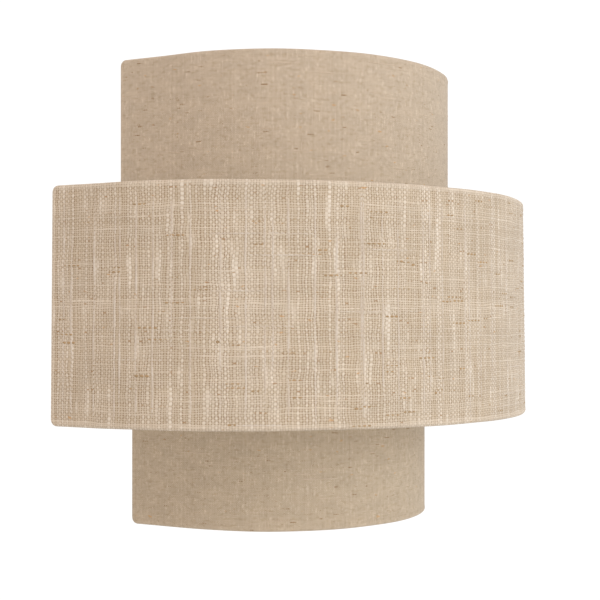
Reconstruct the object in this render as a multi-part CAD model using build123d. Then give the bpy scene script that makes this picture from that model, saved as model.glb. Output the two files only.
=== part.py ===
from build123d import *
import os
from math import cos, radians, sin
from typing import NamedTuple

# Half-drum wall light with three tiers of fabric shade on wire frames.
# Millimetres. The wall is the plane Y = 0, the light stands out towards -Y, Z is up.
# The origin is the middle of the back plate, on the wall.

# ---- Shade: plan of each tier is two straight sides and a half circle ----
band_radius_top = 150.0
band_radius_bottom = 151.3
band_side = 25.0
upper_radius = 95.0
upper_side = 40.0
lower_radius = 85.0
lower_side = 37.0

# ---- Shade: heights ----
band_top_z = 50.0
band_height = 114.0
upper_reveal = 69.0
lower_reveal = 55.0
upper_overlap = 10.0
lower_overlap = 10.0

# ---- Shade: cloth, liner and wires ----
wall_gap = 0.3
cover_thickness = 0.5
roll_proud = 0.15
liner_thickness = 0.6
liner_fit = 0.1
frame_wire = 2.0
wire_fit = 0.1
weld_fit = 0.05
loop_corner = 1.7
spoke_wire = 2.0
spoke_angles = (-72.0, -36.0, 0.0, 36.0, 72.0)
notch_fit = 0.3
hanger_wire = 3.0
hanger_drop = 41.0
tie_clearance = 5.5
wire_shoulder = 18.0
wire_bend = 7.0

# ---- Back plate ----
plate_width = 100.0
plate_height = 150.0
plate_depth = 18.0
plate_sheet = 1.2
plate_corner = 12.0
plate_edge = 4.0

# ---- Shade hooks ----
hook_spacing = 56.0
hook_sheet = 2.0
hook_reach = 9.0
hook_fit = 0.3
hook_lip = 4.0
hook_lip_rise = 8.0
hook_base = 6.0
hook_flange_width = 16.0
hook_flange_height = 34.0
rivet_diameter = 4.0
rivet_spacing = 20.0
rivet_head = 1.4
rivet_head_diameter = 7.2
rivet_tail_diameter = 6.0
rivet_fit = 0.1

# ---- Wall bracket ----
strap_width = 22.0
strap_sheet = 2.0
stud_spacing = 76.0
stud_margin = 6.0
stud_diameter = 4.0
slot_width = 5.0
slot_length = 14.0
slot_spacing = 44.0
cable_hole = 14.0
bushing_bore = 9.0
bushing_fit = 0.1
bushing_flange = 18.0
bushing_lip = 1.5
stud_head = 7.0
stud_head_sink = 1.2
stud_tip = 1.0
stud_chamfer = 0.5
washer_diameter = 10.0
washer_thickness = 0.8
seat_gap = 0.1
nut_diameter = 12.0
nut_length = 9.0
nut_dome = 3.5
nut_crown = 1.75
nut_fit = 0.06
nut_grooves = 20
nut_groove_depth = 0.4
nut_groove_width = 1.6

# ---- Terminal block, earth ----
block_width = 30.0
block_height = 16.0
block_depth = 12.0
block_web = 6.0
block_drop = 35.0
block_pitch = 10.0
block_tube = 6.4
port_bore = 3.2
clamp_screw = 3.0
clamp_screw_fit = 0.1
clamp_screw_length = 4.0
screw_slot_depth = 0.8
screw_slot_width = 0.6
block_screw = 2.5
block_screw_head = 3.4
block_screw_head_height = 1.5
earth_x = 24.0
earth_rise = 45.0
earth_screw_diameter = 4.0
earth_head = 8.0
earth_head_height = 2.6
earth_head_edge = 0.8
tag_ring = 9.0
tag_sheet = 0.8
tag_barrel = 8.0
tag_tongue = 2.6

# ---- Lamp arm and lampholder ----
lamp_reach = 66.0
arm_drop = 20.0
arm_diameter = 10.0
arm_bore = 8.0
arm_bend = 18.0
arm_tail = 6.5
arm_rise = 12.0
arm_fit = 0.1
collar_diameter = 20.0
collar_length = 6.0
lock_nut_width = 14.0
lock_nut_length = 4.0
cap_diameter = 30.0
cap_height = 20.0
cap_hub = 14.0
cap_hub_length = 9.0
cap_shoulder = 8.0
cap_wall = 1.8
sleeve_diameter = 28.0
sleeve_wall = 1.6
sleeve_height = 36.0
sleeve_ribs = 5
sleeve_rib_pitch = 2.4
sleeve_rib_height = 0.7
core_diameter = 24.0
core_height = 12.0
core_fit = 0.2
core_chamfer = 1.0
shell_wall = 0.5
shell_height = 17.0
lamp_fit = 0.35
contact_width = 5.0
contact_pad = 3.4
contact_sheet = 0.5
contact_rise = 1.2

# ---- Lamp ----
globe_diameter = 45.0
globe_wall = 0.8
globe_neck = 12.6
globe_neck_rise = 3.8
globe_shoulder = 28.0
globe_height = 60.0
lamp_cap_diameter = 13.9
lamp_cap_wall = 0.5
lamp_cap_height = 17.0
insulator_height = 4.0
insulator_face = 9.2
pip_diameter = 4.6
pip_height = 1.2
pip_tip = 3.0
stem_diameter = 6.0
stem_tip = 3.0
stem_height = 22.0
filament_ring = 14.0
filament_wire = 0.5

# ---- Leads ----
lead_diameter = 1.8
lead_pitch = 3.2
lead_plane = 8.0
lead_detour = 14.0
lead_bend = 9.0
lead_entry_bend = 7.0
lead_end_gap = 0.3
lead_straight = 8.0
lead_fan = 24.0

# ---- Worked out from the above ----
band_bottom_z = band_top_z - band_height
roll_radius = frame_wire / 2 + wire_fit + cover_thickness
leg_y = -(wall_gap + roll_radius)
plate_front_y = -plate_depth
hanger_z = plate_height / 2 - hanger_drop
block_z = plate_height / 2 - block_drop
earth_z = earth_rise - plate_height / 2
arm_z = arm_drop - plate_height / 2
lower_tie_z = arm_z + (collar_diameter + hanger_wire) / 2 + tie_clearance
plate_back_y = plate_front_y + plate_sheet
hanger_y = plate_front_y - hook_reach
lower_tie_y = plate_front_y - hook_fit - hanger_wire / 2
cap_bottom_z = arm_z + arm_bend + arm_rise - cap_hub_length
sleeve_bottom_z = cap_bottom_z + cap_height - cap_shoulder
core_bottom_z = cap_bottom_z + cap_height - cap_shoulder + sleeve_wall
core_top_z = core_bottom_z + core_height
shell_radius = lamp_cap_diameter / 2 + lamp_fit
lamp_bottom_z = core_top_z + contact_sheet + contact_rise + lamp_fit


class Tier(NamedTuple):
    """One half-drum tier: its outer plan radius at both rims, straight side and rim heights."""

    radius_top: float
    radius_bottom: float
    side: float
    top_z: float
    bottom_z: float

    def radius_at(self, z):
        """Outer plan radius at a height."""
        share = (z - self.bottom_z) / (self.top_z - self.bottom_z)
        return self.radius_bottom + (self.radius_top - self.radius_bottom) * share

    def wire_radius_at(self, z):
        """Plan radius of the frame wire's centre line at a height."""
        return self.radius_at(z) - roll_radius

    @property
    def ring_top_z(self):
        """Height of the upper ring's centre line."""
        return self.top_z - roll_radius

    @property
    def ring_bottom_z(self):
        """Height of the lower ring's centre line."""
        return self.bottom_z + roll_radius


band = Tier(band_radius_top, band_radius_bottom, band_side, band_top_z, band_bottom_z)
upper = Tier(upper_radius, upper_radius, upper_side, band_top_z + upper_reveal, band_top_z - upper_overlap)
lower = Tier(lower_radius, lower_radius, lower_side, band_bottom_z + lower_overlap, band_bottom_z - lower_reveal)


# ---- Small helpers ----
def rod(start, end, diameter):
    """Round bar between two points."""
    axis = Vector(*end) - Vector(*start)
    return extrude(Plane(origin=start, z_dir=axis) * Circle(diameter / 2), axis.length)


def along_y(y_from, y_to, x, z, diameter):
    """Round bar along Y."""
    return rod((x, y_from, z), (x, y_to, z), diameter)


def slab(x_size, y_from, y_to, z_size, x=0.0, z=0.0):
    """Rectangular block between two Y planes, centred on x and z."""
    return Pos(x, (y_from + y_to) / 2, z) * Box(x_size, abs(y_to - y_from), z_size)


def turned(points, x=0.0, y=0.0):
    """Solid of revolution about a vertical axis from (radius, z) points."""
    outline = make_face(Plane.XZ * Polyline(*points, close=True))
    return Pos(x, y, 0) * revolve(outline, Axis.Z)


def bent_wire(path, diameter):
    """Round wire along a path of lines and tangent arcs."""
    return sweep(Plane(origin=path @ 0, z_dir=path % 0) * Circle(diameter / 2), path=path)


# ---- Shade tiers ----
def plan_face(radius, side, back_y, z):
    """Half-drum plan, closed along a line at the back."""
    front = ThreePointArc((-radius, -side), (0, -side - radius), (radius, -side))
    back = Polyline((radius, -side), (radius, back_y), (-radius, back_y), (-radius, -side))
    return Pos(0, 0, z) * make_face(front + back)


def drum_block(tier, inset, bottom_z, top_z, back_y):
    """Solid block under a tier's outer surface, drawn in by an inset."""
    low = plan_face(tier.radius_at(bottom_z) - inset, tier.side, back_y, bottom_z)
    high = plan_face(tier.radius_at(top_z) - inset, tier.side, back_y, top_z)
    return loft([low, high], ruled=True)


def drum_wall(tier, inset, thickness, bottom_z, top_z, back_y):
    """Curved wall of a tier between two heights, open at the back."""
    hollow_back = back_y + thickness
    outside = drum_block(tier, inset, bottom_z, top_z, back_y)
    inside = drum_block(tier, inset + thickness, bottom_z, top_z, hollow_back)
    return outside - inside


def loop_side(tier, way):
    """One side of the frame loop: along the top, down the wall and back along the bottom."""
    x_top = way * tier.wire_radius_at(tier.ring_top_z)
    x_bottom = way * tier.wire_radius_at(tier.ring_bottom_z)
    return FilletPolyline(
        (x_top, -tier.side, tier.ring_top_z),
        (x_top, leg_y, tier.ring_top_z),
        (x_bottom, leg_y, tier.ring_bottom_z),
        (x_bottom, -tier.side, tier.ring_bottom_z),
        radius=loop_corner,
    )


def ring_front(tier, z, radius):
    """Half ring of round section along a rim."""
    wire_radius = tier.wire_radius_at(z)
    section = Plane(origin=(wire_radius, -tier.side, z), z_dir=(0, 1, 0)) * Circle(radius)
    axis = Axis((0, -tier.side, z), (0, 0, -1))
    return revolve(section, axis, revolution_arc=180)


def loop_lengths(tier, radius):
    """The four lengths of round section that make a tier's loop."""
    sides = [bent_wire(loop_side(tier, way), 2 * radius) for way in (-1, 1)]
    fronts = [ring_front(tier, z, radius) for z in (tier.ring_top_z, tier.ring_bottom_z)]
    return sides + fronts


def frame_loop(tier, radius):
    """Closed loop of round section: both rims and both edges at the wall."""
    left, right, top, bottom = loop_lengths(tier, radius)
    return left + top + right + bottom


def edge_window(tier):
    """Block whose rounded corners trim the cloth at the wall to the frame loop's centre line."""
    depth = tier.side + max(tier.radius_top, tier.radius_bottom) + roll_radius
    width = 2 * (max(tier.radius_top, tier.radius_bottom) + roll_radius)
    middle_y = leg_y - depth / 2
    middle_z = (tier.ring_top_z + tier.ring_bottom_z) / 2
    block = Pos(0, middle_y, middle_z) * Box(width, depth, tier.ring_top_z - tier.ring_bottom_z)
    corners = block.edges().filter_by(Axis.X).group_by(Axis.Y)[-1]
    return fillet(corners, loop_corner)


def cover(tier, passing):
    """Fabric cover rolled round the frame loop, notched where wires pass.

    All hollows are cut in one operation.
    """
    sheet = drum_wall(tier, roll_proud, cover_thickness, tier.ring_bottom_z, tier.ring_top_z, 0)
    cloth = sheet & edge_window(tier)
    cloth = cloth + frame_loop(tier, roll_radius)
    return cloth - (loop_lengths(tier, frame_wire / 2 + wire_fit) + passing)


def liner(tier):
    """Stiff liner sheet behind the cloth, between the rolled edges."""
    inset = roll_proud + cover_thickness + liner_fit
    margin = roll_radius + liner_fit
    back_y = leg_y - margin
    bottom_z = tier.ring_bottom_z + margin
    top_z = tier.ring_top_z - margin
    return drum_wall(tier, inset, liner_thickness, bottom_z, top_z, back_y)


# ---- Wires that join the tiers ----
def ring_point(tier, z, angle):
    """Point on a ring's centre line, at an angle from the front."""
    reach = tier.wire_radius_at(z)
    return Vector(reach * sin(radians(angle)), -tier.side - reach * cos(radians(angle)), z)


def spokes(inner, inner_z, outer, outer_z):
    """Straight wires between two rings, cut back to the rings' surfaces."""
    wires = [
        rod(ring_point(inner, inner_z, angle), ring_point(outer, outer_z, angle), spoke_wire)
        for angle in spoke_angles
    ]
    return [welded(wire, (inner, outer)) for wire in wires]


def spoke_notches(tier, z, other, other_z):
    """Square notches in a tier's roll where its spokes run out to another tier."""
    size = spoke_wire + 2 * notch_fit
    notches = []
    for angle in spoke_angles:
        start = ring_point(tier, z, angle)
        way = ring_point(other, other_z, angle) - start
        face = Plane(origin=start, x_dir=(0, 0, 1), z_dir=(way.X, way.Y, 0)) * Rectangle(size, size)
        notches.append(extrude(face, 2 * roll_radius))
    return notches


def cross_wire(z, front_y, diameter):
    """Wire across the back of the band that steps forward round the back plate."""
    leg_x = band.wire_radius_at(z)
    front_x = plate_width / 2 + hook_fit + wire_bend
    step_x = front_x + wire_shoulder
    path = FilletPolyline(
        (-leg_x, leg_y, z),
        (-step_x, leg_y, z),
        (-front_x, front_y, z),
        (front_x, front_y, z),
        (step_x, leg_y, z),
        (leg_x, leg_y, z),
        radius=wire_bend,
    )
    return bent_wire(path, diameter)


def welded(wire, tiers):
    """A wire cut back to the surface of the frame loops that it is welded to."""
    for tier in tiers:
        wire = wire - frame_loop(tier, frame_wire / 2 + weld_fit)
    return max(wire.solids(), key=lambda solid: solid.volume)


# ---- Back plate ----
def rounded_plate(width, height, corner, y_from, y_to):
    """Rectangular plate with round corners between two Y planes."""
    outline = Plane(origin=(0, y_from, 0), x_dir=(1, 0, 0), z_dir=(0, -1, 0))
    return extrude(outline * RectangleRounded(width, height, corner), y_from - y_to)


def plate_holes():
    """Everything that is bored through the back plate's front."""
    y_from = 0
    y_to = plate_front_y - plate_sheet
    holes = [along_y(y_from, y_to, way * stud_spacing / 2, 0, stud_diameter + 2 * nut_fit) for way in (-1, 1)]
    holes.append(along_y(y_from, y_to, 0, arm_z, arm_diameter + 2 * arm_fit))
    holes.append(along_y(y_from, y_to, block_pitch / 2, block_z, block_screw + 2 * clamp_screw_fit))
    holes.append(along_y(y_from, y_to, earth_x, earth_z, earth_screw_diameter + 2 * clamp_screw_fit))
    for x, z in rivet_places():
        holes.append(along_y(y_from, y_to, x, z, rivet_diameter + 2 * rivet_fit))
    return holes


def back_plate():
    """Pressed pan with a rolled front edge, open to the wall."""
    body = rounded_plate(plate_width, plate_height, plate_corner, 0, plate_front_y)
    body = fillet(body.faces().sort_by(Axis.Y)[0].edges(), plate_edge)
    inner_width = plate_width - 2 * plate_sheet
    inner_height = plate_height - 2 * plate_sheet
    inner_corner = plate_corner - plate_sheet
    hollow = rounded_plate(inner_width, inner_height, inner_corner, plate_sheet, plate_back_y)
    hollow = fillet(hollow.faces().sort_by(Axis.Y)[0].edges(), plate_edge - plate_sheet)
    body = body - hollow
    for hole in plate_holes():
        body = body - hole
    return body


def hook_center_z():
    """Middle height of the hook's flange."""
    return hanger_z - hanger_wire / 2 - hook_fit - hook_base + hook_flange_height / 2


def rivet_places():
    """Rivets above each other in the outer half of each hook's flange."""
    x = hook_spacing / 2 + hook_sheet / 2 - hook_flange_width / 2
    middle = hook_center_z()
    return [(way * x, middle + step * rivet_spacing / 2) for way in (-1, 1) for step in (-1, 1)]


def shade_hook(way):
    """Bent bracket: a flange on the plate and an ear whose notch holds the hanger wire."""
    seat = hanger_wire / 2 + hook_fit
    notch_bottom = hanger_z - seat
    ear_bottom = notch_bottom - hook_base
    ear_front = hanger_y - seat - hook_lip
    lip_top = notch_bottom + hook_lip_rise
    flange_top = ear_bottom + hook_flange_height
    ear = make_face(
        Plane.YZ
        * Polyline(
            (plate_front_y, ear_bottom),
            (ear_front + hook_base / 2, ear_bottom),
            (ear_front, ear_bottom + hook_base / 2),
            (ear_front, lip_top - hook_lip / 2),
            (ear_front + hook_lip / 2, lip_top),
            (hanger_y - seat, lip_top),
            (hanger_y - seat, notch_bottom),
            (hanger_y + seat, notch_bottom),
            (hanger_y + seat, lip_top + hook_lip),
            (plate_front_y, flange_top),
            close=True,
        )
    )
    middle_x = way * hook_spacing / 2
    ear = Pos(middle_x - hook_sheet / 2, 0, 0) * extrude(ear, hook_sheet, dir=(1, 0, 0))
    flange_x = way * (hook_spacing / 2 + hook_sheet / 2 - hook_flange_width / 2)
    flange = slab(
        hook_flange_width, plate_front_y, plate_front_y - hook_sheet, hook_flange_height, flange_x, hook_center_z()
    )
    hook = ear + flange
    for x, z in rivet_places():
        hook = hook - along_y(0, plate_front_y - 2 * hook_sheet, x, z, rivet_diameter + 2 * rivet_fit)
    return hook


def rivet(x, z):
    """Blind rivet with a domed head outside and a set tail inside."""
    head_y = plate_front_y - hook_sheet
    shank = along_y(plate_back_y + rivet_head, head_y - rivet_head / 2, x, z, rivet_diameter)
    head = along_y(head_y, head_y - rivet_head, x, z, rivet_head_diameter)
    head = fillet(head.edges().sort_by(Axis.Y)[0], rivet_head / 2)
    tail = along_y(plate_back_y, plate_back_y + rivet_head, x, z, rivet_tail_diameter)
    return shank + head + tail


# ---- Wall bracket ----
def wall_bracket():
    """Flat strap on the wall: a cable hole, two slots for wall screws and two stud holes."""
    length = stud_spacing + 2 * stud_margin
    strap = extrude(Plane.XZ * SlotOverall(length, strap_width), strap_sheet)
    strap = strap - along_y(0, -strap_sheet, 0, 0, cable_hole)
    slot = extrude(Plane.XZ * SlotOverall(slot_length, slot_width), strap_sheet)
    for way in (-1, 1):
        strap = strap - Pos(way * slot_spacing / 2, 0, 0) * slot
        strap = strap - along_y(0, -stud_head_sink, way * stud_spacing / 2, 0, stud_head)
        strap = strap - along_y(0, -strap_sheet, way * stud_spacing / 2, 0, stud_diameter)
    return strap


def stud(way):
    """Threaded stud pressed into the strap from the wall side."""
    x = way * stud_spacing / 2
    tip_y = plate_front_y - washer_thickness - nut_length + nut_dome + stud_tip
    shank = along_y(0, tip_y, x, 0, stud_diameter)
    shank = chamfer(shank.edges().sort_by(Axis.Y)[0], stud_chamfer)
    return shank + along_y(0, -stud_head_sink, x, 0, stud_head)


def stud_washer(way):
    """Flat washer between the plate and a thumb nut."""
    x = way * stud_spacing / 2
    y_to = plate_front_y - washer_thickness
    disc = along_y(plate_front_y, y_to, x, 0, washer_diameter)
    return disc - along_y(plate_front_y, y_to, x, 0, stud_diameter + 2 * nut_fit)


def thumb_nut(way):
    """Domed cap nut with a grooved grip, screwed on a stud."""
    x = way * stud_spacing / 2
    seat_y = plate_front_y - washer_thickness - seat_gap
    end_y = seat_y - nut_length
    radius = nut_diameter / 2
    body = along_y(seat_y, end_y, x, 0, nut_diameter)
    body = fillet(body.edges().sort_by(Axis.Y)[0], nut_dome)
    body = body - along_y(seat_y, end_y + nut_crown, x, 0, stud_diameter + 2 * nut_fit)
    grip_end = end_y + nut_dome
    for step in range(nut_grooves):
        turn = radians(step * 360 / nut_grooves)
        reach = radius + nut_groove_depth
        groove_x = x + reach * cos(turn)
        groove_z = reach * sin(turn)
        body = body - along_y(seat_y, grip_end, groove_x, groove_z, nut_groove_width)
    return body


def entry_bushing():
    """Bushing that lines the strap's cable hole."""
    sleeve = along_y(-wall_gap, -strap_sheet, 0, 0, cable_hole - 2 * bushing_fit)
    lip = along_y(-strap_sheet, -strap_sheet - bushing_lip, 0, 0, bushing_flange)
    lip = fillet(lip.edges().sort_by(Axis.Y)[0], bushing_lip / 2)
    return sleeve + lip - along_y(0, -strap_sheet - 2 * bushing_lip, 0, 0, bushing_bore)


# ---- Terminals inside the plate ----
def port_places():
    """Sideways places of the terminal block's three ways."""
    return [step * block_pitch for step in (-1, 0, 1)]


def terminal_block():
    """Three-way block with a tube for each conductor and a web between the tubes."""
    back_y = plate_back_y + block_depth
    body = slab(block_width, plate_back_y, plate_back_y + block_web, block_height, 0, block_z)
    for x in port_places():
        body = body + slab(block_tube, plate_back_y, back_y, block_height, x, block_z)
    port_y = plate_back_y + block_web
    half = block_height / 2
    for x in port_places():
        body = body - rod((x, port_y, block_z - half), (x, port_y, block_z + half), port_bore)
        for step in (-1, 1):
            z = block_z + step * block_height / 4
            body = body - along_y(port_y, back_y, x, z, clamp_screw + 2 * clamp_screw_fit)
    hole_x = block_pitch / 2
    return body - along_y(plate_back_y, back_y, hole_x, block_z, block_screw + 2 * clamp_screw_fit)


def clamp_screw_solid(x, z, length):
    """Slotted clamping screw sunk in the block."""
    back_y = plate_back_y + block_depth - clamp_screw_fit
    body = along_y(back_y, back_y - length, x, z, clamp_screw)
    return body - slab(clamp_screw, back_y, back_y - screw_slot_depth, screw_slot_width, x, z)


def terminal_screws():
    """Two clamping screws for each way."""
    return [
        clamp_screw_solid(x, block_z + step * block_height / 4, clamp_screw_length)
        for x in port_places()
        for step in (-1, 1)
    ]


def block_fixing_screw():
    """Screw that holds the terminal block to the plate."""
    head_y = plate_back_y + block_web
    x = block_pitch / 2
    head = along_y(head_y, head_y + block_screw_head_height, x, block_z, block_screw_head)
    return head + along_y(head_y, plate_front_y, x, block_z, block_screw)


def earth_screw():
    """Earth screw through the plate, with its nut inside."""
    head_y = plate_back_y + tag_sheet
    shank = along_y(head_y + earth_head_height, plate_front_y, earth_x, earth_z, earth_screw_diameter)
    head = along_y(head_y, head_y + earth_head_height, earth_x, earth_z, earth_head)
    head = fillet(head.edges().sort_by(Axis.Y)[-1], earth_head_edge)
    slot = slab(earth_head, head_y + earth_head_height / 2, head_y + earth_head_height, tag_sheet, earth_x, earth_z)
    return shank + head - slot


def earth_tag():
    """Ring tag under the earth screw, with a crimped barrel for the lead."""
    y_to = plate_back_y + tag_sheet
    ring = along_y(plate_back_y, y_to, earth_x, earth_z, tag_ring)
    ring = ring - along_y(plate_back_y, y_to, earth_x, earth_z, earth_screw_diameter + 2 * clamp_screw_fit)
    reach = tag_ring / 2
    tongue = slab(lead_diameter, plate_back_y, y_to, tag_tongue, earth_x, earth_z + reach)
    barrel_start = earth_z + reach + tag_sheet
    outer = lead_diameter + 2 * tag_sheet
    barrel_y = plate_back_y + outer / 2
    start = (earth_x, barrel_y, barrel_start)
    end = (earth_x, barrel_y, barrel_start + tag_barrel)
    barrel = rod(start, end, outer) - rod(start, end, lead_diameter + 2 * clamp_screw_fit)
    return ring + tongue + barrel


# ---- Lamp arm and lampholder ----
def arm_path():
    """Centre line of the arm: out of the plate, then up."""
    tail_y = plate_back_y + arm_tail
    return FilletPolyline(
        (0, tail_y, arm_z), (0, -lamp_reach, arm_z), (0, -lamp_reach, cap_bottom_z + cap_hub_length), radius=arm_bend
    )


def lamp_arm():
    """Bent threaded tube that carries the lampholder and its leads."""
    path = arm_path()
    return bent_wire(path, arm_diameter) - bent_wire(path, arm_bore)


def arm_collar():
    """Turned collar on the arm, against the plate's front."""
    y_to = plate_front_y - collar_length
    body = along_y(plate_front_y, y_to, 0, arm_z, collar_diameter)
    body = fillet(body.edges().sort_by(Axis.Y)[0], collar_length / 2)
    return body - along_y(plate_front_y, y_to, 0, arm_z, arm_diameter + 2 * arm_fit)


def arm_lock_nut():
    """Hexagon nut on the arm, inside the plate."""
    outline = Plane(origin=(0, plate_back_y, arm_z), x_dir=(1, 0, 0), z_dir=(0, 1, 0))
    nut = extrude(outline * RegularPolygon(lock_nut_width / 2, 6, major_radius=False), lock_nut_length)
    return nut - along_y(plate_back_y, plate_back_y + lock_nut_length, 0, arm_z, arm_diameter + 2 * arm_fit)


def lampholder_cap():
    """Domed cap with a threaded hub at the bottom."""
    radius = cap_diameter / 2
    top_z = cap_bottom_z + cap_height
    shoulder_z = cap_bottom_z + cap_height - cap_shoulder
    hub = cap_hub / 2
    outside = [
        (0, cap_bottom_z),
        (hub, cap_bottom_z),
        (hub + cap_wall, cap_bottom_z + cap_wall),
        (radius, shoulder_z - cap_wall),
        (radius, top_z),
        (0, top_z),
    ]
    inside = [
        (0, cap_bottom_z + cap_hub_length + seat_gap),
        (hub, cap_bottom_z + cap_hub_length + seat_gap),
        (sleeve_diameter / 2 + seat_gap, sleeve_bottom_z - seat_gap),
        (sleeve_diameter / 2 + seat_gap, top_z),
        (0, top_z),
    ]
    body = turned(outside, 0, -lamp_reach) - turned(inside, 0, -lamp_reach)
    start = (0, -lamp_reach, cap_bottom_z)
    end = (0, -lamp_reach, cap_bottom_z + cap_hub_length + 2 * seat_gap)
    return body - rod(start, end, arm_diameter + 2 * arm_fit)


def lampholder_sleeve():
    """Ribbed outer sleeve with a turned-in floor rim under the core."""
    radius = sleeve_diameter / 2
    top_z = sleeve_bottom_z + sleeve_height
    points = [(radius - 2 * sleeve_wall, sleeve_bottom_z), (radius, sleeve_bottom_z)]
    rib_start = top_z - (sleeve_ribs + 1) * sleeve_rib_pitch
    for step in range(sleeve_ribs):
        z = rib_start + step * sleeve_rib_pitch
        points += [
            (radius, z),
            (radius + sleeve_rib_height, z + sleeve_rib_pitch / 3),
            (radius, z + 2 * sleeve_rib_pitch / 3),
        ]
    points += [
        (radius, top_z - sleeve_wall / 2),
        (radius - sleeve_wall / 2, top_z),
        (radius - sleeve_wall, top_z),
        (radius - sleeve_wall, core_bottom_z),
        (radius - 2 * sleeve_wall, core_bottom_z),
    ]
    return turned(points, 0, -lamp_reach)


def lampholder_core():
    """Ceramic core that seats in the sleeve, with two holes for the leads."""
    start = (0, -lamp_reach, core_bottom_z)
    end = (0, -lamp_reach, core_top_z)
    body = rod(start, end, core_diameter)
    body = chamfer(body.edges().sort_by(Axis.Z)[-1], core_chamfer)
    for way in (-1, 1):
        x = way * lead_pitch / 2
        hole_top = core_bottom_z + core_height / 2
        body = body - rod((x, -lamp_reach, core_bottom_z), (x, -lamp_reach, hole_top), lead_diameter + 2 * core_fit)
    return body


def screw_shell():
    """Thin brass shell that takes the lamp's screw cap."""
    start = (0, -lamp_reach, core_top_z)
    end = (0, -lamp_reach, core_top_z + shell_height)
    tube = rod(start, end, 2 * (shell_radius + shell_wall))
    return tube - rod(start, end, 2 * shell_radius)


def centre_contact():
    """Raised brass tongue under the lamp's contact."""
    foot = Pos(0, -lamp_reach, core_top_z + contact_sheet / 2) * Box(contact_width, contact_width, contact_sheet)
    pad_z = core_top_z + contact_sheet + contact_rise / 2
    pad = Pos(0, -lamp_reach, pad_z) * Cylinder(contact_pad / 2, contact_rise)
    return foot + pad


# ---- Lamp ----
def lamp_insulator():
    """Dark insulator with the solder contact below it."""
    tip_z = lamp_bottom_z
    top_z = tip_z + pip_height + insulator_height
    return turned(
        [
            (0, tip_z),
            (pip_tip / 2, tip_z),
            (pip_diameter / 2, tip_z + pip_height / 2),
            (pip_diameter / 2, tip_z + pip_height),
            (insulator_face / 2, tip_z + pip_height),
            (lamp_cap_diameter / 2 - lamp_cap_wall, top_z),
            (0, top_z),
        ],
        0,
        -lamp_reach,
    )


def lamp_cap():
    """Screw cap shell of the lamp."""
    bottom_z = lamp_bottom_z + pip_height + insulator_height
    start = (0, -lamp_reach, bottom_z)
    end = (0, -lamp_reach, bottom_z + lamp_cap_height)
    return rod(start, end, lamp_cap_diameter) - rod(start, end, lamp_cap_diameter - 2 * lamp_cap_wall)


def globe_outline(inset, bottom_z, top_z):
    """Half outline of a globe on a short neck, drawn in by an inset."""
    radius = globe_diameter / 2 - inset
    neck = globe_neck / 2 - inset
    shoulder = globe_shoulder / 2 - inset
    neck_z = bottom_z + globe_neck_rise
    middle_z = top_z - radius
    waist_z = (bottom_z + middle_z) / 2
    curve = Spline((neck, neck_z), (shoulder, waist_z), (radius, middle_z), tangents=((0, 1), (0, 1)))
    crown = CenterArc((0, middle_z), radius, 0, 90)
    edges = [
        Line((0, bottom_z), (neck, bottom_z)),
        Line((neck, bottom_z), (neck, neck_z)),
        curve,
        crown,
        Line((0, top_z), (0, bottom_z)),
    ]
    return make_face(Plane.XZ * Wire(edges))


def lamp_globe():
    """Blown glass globe, hollow, seated on the cap."""
    bottom_z = lamp_bottom_z + pip_height + insulator_height + lamp_cap_height
    top_z = bottom_z + globe_height
    outer = globe_outline(0, bottom_z, top_z)
    inner = globe_outline(globe_wall, bottom_z + globe_wall, top_z - globe_wall)
    return Pos(0, -lamp_reach, 0) * (revolve(outer, Axis.Z) - revolve(inner, Axis.Z))


def lamp_filament():
    """Glass stem with the ring of filament on top."""
    bottom_z = lamp_bottom_z + pip_height + insulator_height + lamp_cap_height + globe_wall
    top_z = bottom_z + stem_height
    stem = turned(
        [(0, bottom_z), (stem_diameter / 2, bottom_z), (stem_tip / 2, top_z), (0, top_z)], 0, -lamp_reach
    )
    ring_z = top_z - filament_wire
    ring = Pos(0, -lamp_reach, ring_z) * Torus(filament_ring / 2, filament_wire / 2)
    bar = rod((-filament_ring / 2, -lamp_reach, ring_z), (filament_ring / 2, -lamp_reach, ring_z), filament_wire)
    return stem + ring + bar


# ---- Leads ----
def lamp_lead(way):
    """Insulated lead from the terminal block, round the cable hole and through the arm to the core."""
    port_x = way * block_pitch if way < 0 else 0
    x = way * lead_pitch / 2
    port_y = plate_back_y + block_web
    block_bottom = block_z - block_height / 2
    start_z = block_bottom + port_bore
    plane_y = -lead_plane
    detour_x = x - lead_detour
    rejoin_z = arm_z + 2 * lead_entry_bend
    end_z = core_bottom_z + core_height / 2 - lead_end_gap
    path = FilletPolyline(
        (port_x, port_y, start_z),
        (port_x, port_y, block_bottom - lead_straight),
        (detour_x, plane_y, block_bottom - lead_fan),
        (detour_x, plane_y, rejoin_z + lead_detour),
        (x, plane_y, rejoin_z),
        (x, plane_y, arm_z),
        (x, -lamp_reach, arm_z),
        (x, -lamp_reach, end_z),
        radius=[lead_bend, lead_bend, lead_bend, lead_bend, lead_entry_bend, arm_bend],
    )
    return bent_wire(path, lead_diameter)


def earth_lead():
    """Insulated lead from the terminal block to the earth tag."""
    port_y = plate_back_y + block_web
    block_bottom = block_z - block_height / 2
    tag_y = plate_back_y + lead_diameter / 2 + tag_sheet
    barrel_top = earth_z + tag_ring / 2 + tag_sheet + tag_barrel
    path = FilletPolyline(
        (block_pitch, port_y, block_bottom + port_bore),
        (block_pitch, port_y, block_bottom - lead_straight),
        (earth_x, tag_y, barrel_top + block_height),
        (earth_x, tag_y, barrel_top - tag_barrel / 2),
        radius=lead_bend,
    )
    return bent_wire(path, lead_diameter)


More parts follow.
